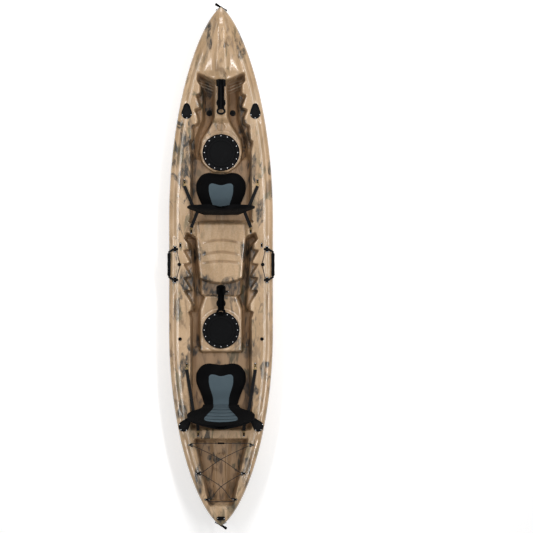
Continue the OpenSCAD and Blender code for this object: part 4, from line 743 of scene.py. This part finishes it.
def pad_shape(u, v):
    """The top of a pad: u runs across from -1 to 1, v back from 0. A crown, falling to its edges and the back."""
    wide = PAD_W / 2 * (1 - 0.29 * eased(0.3, 1, v)) * (1 - 0.07 * np.abs(2 * v - 1) ** 8)
    lobes = PAD_DIP * np.cos(np.pi / 2 * np.minimum(1, np.abs(u) / 0.6)) ** 2 + PAD_CORNER * np.abs(u) ** 6
    y = PAD_LEN * (1 - v) - lobes * (1 - v) ** 2 - 5 * eased(0.9, 1, v)
    full = np.maximum(0, 1 - np.abs(u) ** 4) ** 0.6 * eased(-0.03, 0.16, v) * (1 - 0.8 * eased(0.6, 1.02, v))
    inside = pad_panel(wide * u, v)
    seam = 4 * np.exp(-(inside / 4) ** 2)
    return wide * u, y, PAD_EDGE + (PAD_H - PAD_EDGE) * full - seam, inside


def pad_panel(x, v):
    """Distance inside the slate panel: 94 mm to each side at its waved front edge, drawn in to 60 mm at the back."""
    side = mixed(94, 60, eased(0.42, 0.92, v)) - np.abs(x)
    front = (v - 0.275) * PAD_LEN - 5 * np.cos(np.pi * np.minimum(1, np.abs(x) / 62))
    return cornered(side, front, 26)


for seat, seat_y, _ in SEATS:
    u = np.sin(np.linspace(-1, 1, 81) * np.pi / 2)
    v = (1 - np.cos(np.linspace(0, 1, 73) * np.pi)) / 2
    uu, vv = np.meshgrid(u, v)
    x, y, top, inside = pad_shape(uu, vv)
    side = np.clip(np.abs(uu), 0, 1) ** 12
    crown = np.stack([x, y, top - 3 * side], -1)
    under = np.stack([0.97 * x, y, 0 * top], -1)
    rows = np.concatenate([crown, under[:, ::-1], crown[:, :1]], 1)
    front, back = (edge.mean(1, keepdims=True) + 0 * rows[:1] for edge in (under[:1], under[-1:]))
    panel = np.concatenate([inside, np.full_like(inside, OFF_PANEL), inside[:, :1]], 1)
    panel = np.concatenate([panel[:1], panel, np.full_like(panel[-1:], OFF_PANEL)])
    foot = np.array([0, seat_y + 6, SEAT_Z + SEAT_GAP])
    pad = surface(seat + "_pad_cover", (np.concatenate([front, rows, back]) + foot) / 1000, padded_knit, "hull",
                  marks={"panel": panel})
    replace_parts(pad, seat + "_seat_pad")

BACK_W, BACK_H, BACK_T, BACK_EDGE, BACK_WRAP, BACK_FOOT_Z = 516.0, 395.0, 36.0, 8.0, 26.0, 168.0
BACK_RIBS = (0.28, 0.42, 0.56, 0.70)


def back_shape(u, w):
    """Half width, bend, thickness, seam depth and panel distance of a backrest: u across, w from its foot to its
    arched top. The panel is a fan, 58 mm to each side at the foot and 132 mm at the top."""
    wide = mixed(140, BACK_W / 2, eased(0.03, 0.6, w)) * np.sqrt(1 - np.maximum(0, (w - 0.55) / 0.47) ** 3)
    bend = BACK_WRAP * u * u * eased(0.1, 0.5, w)
    full = np.maximum(0, 1 - np.abs(u) ** 4) ** 0.6 * eased(-0.05, 0.3, w) * (1 - 0.6 * eased(0.85, 1.03, w))
    thick = BACK_EDGE + (BACK_T - BACK_EDGE) * full
    fan = mixed(58, 132, eased(0.1, 0.78, w)) - np.abs(u) * wide
    inside = cornered(fan, (0.8 - w) * BACK_H - 8 * (u * wide / 100) ** 2, 30)
    ribs = sum(np.exp(-((w - at) / 0.012) ** 2) for at in BACK_RIBS) * eased(-2, 6, inside)
    return wide, bend, thick, 5 * np.maximum(ribs, np.exp(-(inside / 5) ** 2)), np.minimum(inside, 14 - 26 * ribs)


for seat, seat_y, lean_deg in SEATS:
    u = np.sin(np.linspace(-1, 1, 81) * np.pi / 2)
    w = np.sin(np.linspace(0, 1, 97) * np.pi / 2) * 0.5 + np.linspace(0, 1, 97) * 0.5
    uu, ww = np.meshgrid(u, w)
    wide, bend, thick, sunk, inside = back_shape(uu, ww)
    face = np.stack([uu * wide, bend + thick / 2 - sunk, BACK_H * ww], -1)
    rear = np.stack([uu * wide, bend - thick / 2, BACK_H * ww], -1)
    rows = np.concatenate([face, rear[:, ::-1], face[:, :1]], 1)
    foot, head = (edge.mean(1, keepdims=True) + 0 * edge for edge in (rows[:1], rows[-1:]))
    panel = np.concatenate([inside, np.full_like(inside, OFF_PANEL), inside[:, :1]], 1)
    panel = np.concatenate([panel[:1], panel, panel[-1:]])
    lean = np.radians(lean_deg)
    turned = np.concatenate([foot, rows, head]) @ np.array([[1, 0, 0], [0, np.cos(lean), np.sin(lean)],
                                                           [0, -np.sin(lean), np.cos(lean)]])
    back = surface(seat + "_back_cover", (turned + (0, seat_y, BACK_FOOT_Z)) / 1000, padded_knit, seat + "_back",
                   marks={"panel": panel})
    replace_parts(back, seat + "_backrest")


# The seat straps: 25 mm polypropylene webbing, one strip from the brass snap hook at each eye to the backrest.
# Each sags a little.
def webbing(tone):
    """Herringbone webbing on its own map: share across, metres along."""
    laid = tone.node("UVMap")
    across, along = (tone.node("SeparateXYZ", links={"Vector": laid}, out=k) for k in range(2))
    rows = (across * 90 + along * 1900).sin().larger((across * 90 - along * 1900).sin())
    return {"Base Color": rows.step(-0.2, 0.9).paint((0.005, 0.005, 0.0055, 1), (0.014, 0.014, 0.015, 1)),
            "Roughness": 0.75, "Specular IOR Level": 0.15, "Normal": tone.bump(rows, 0.0005, 0.7)}


black_webbing = finish("black_webbing", webbing)
STRAP_W, STRAP_T, STRAP_SAG = 0.025, 0.0022, 0.006
band = np.stack([np.sign(np.cos(turn)) * np.abs(np.cos(turn)) ** 0.35 * STRAP_W / 2,
                 np.sign(np.sin(turn)) * np.abs(np.sin(turn)) ** 0.35 * STRAP_T / 2], -1)
STRAPS = {"front_side": ((280, 615.86, 309.758), (211.794, 454.17, 337.987)),
          "front_back": ((228, 298.766, 316.17), (179.436, 414.176, 389.067)),
          "rear_side": ((262, -788.185, 307.942), (211.794, -1102.58, 342.69)),
          "rear_back": ((175, -1254.09, 334.016), (179.436, -1159.18, 370.945))}
for name, (start, end) in STRAPS.items():
    seat = name.split("_")[0]
    for side, hand in ((-1, "port"), (1, "starboard")):
        a, b = (np.array(p) * (side, 1, 1) / 1000 for p in (start, end))
        t = np.linspace(0, 1, 25)[:, None]
        path = a + (b - a) * t - np.array([0, 0, STRAP_SAG]) * 4 * t * (1 - t)
        strap = surface(f"{name}_strap_{hand}", swept(path, band, (0, 0, 1)), black_webbing, None,
                        lengthwise(path, 13))
        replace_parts(strap, name + "_straps")
        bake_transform(strap)


# The side handles' webbing: a strap through each grip, held by a bracket at both ends. It keeps the solid's
# shape and takes the rubber finish.
for side in ("port", "starboard"):
    node = nodes[side + "_handle_strap"]
    node.data.materials.clear()
    node.data.materials.append(fitting_finish["rubber"])
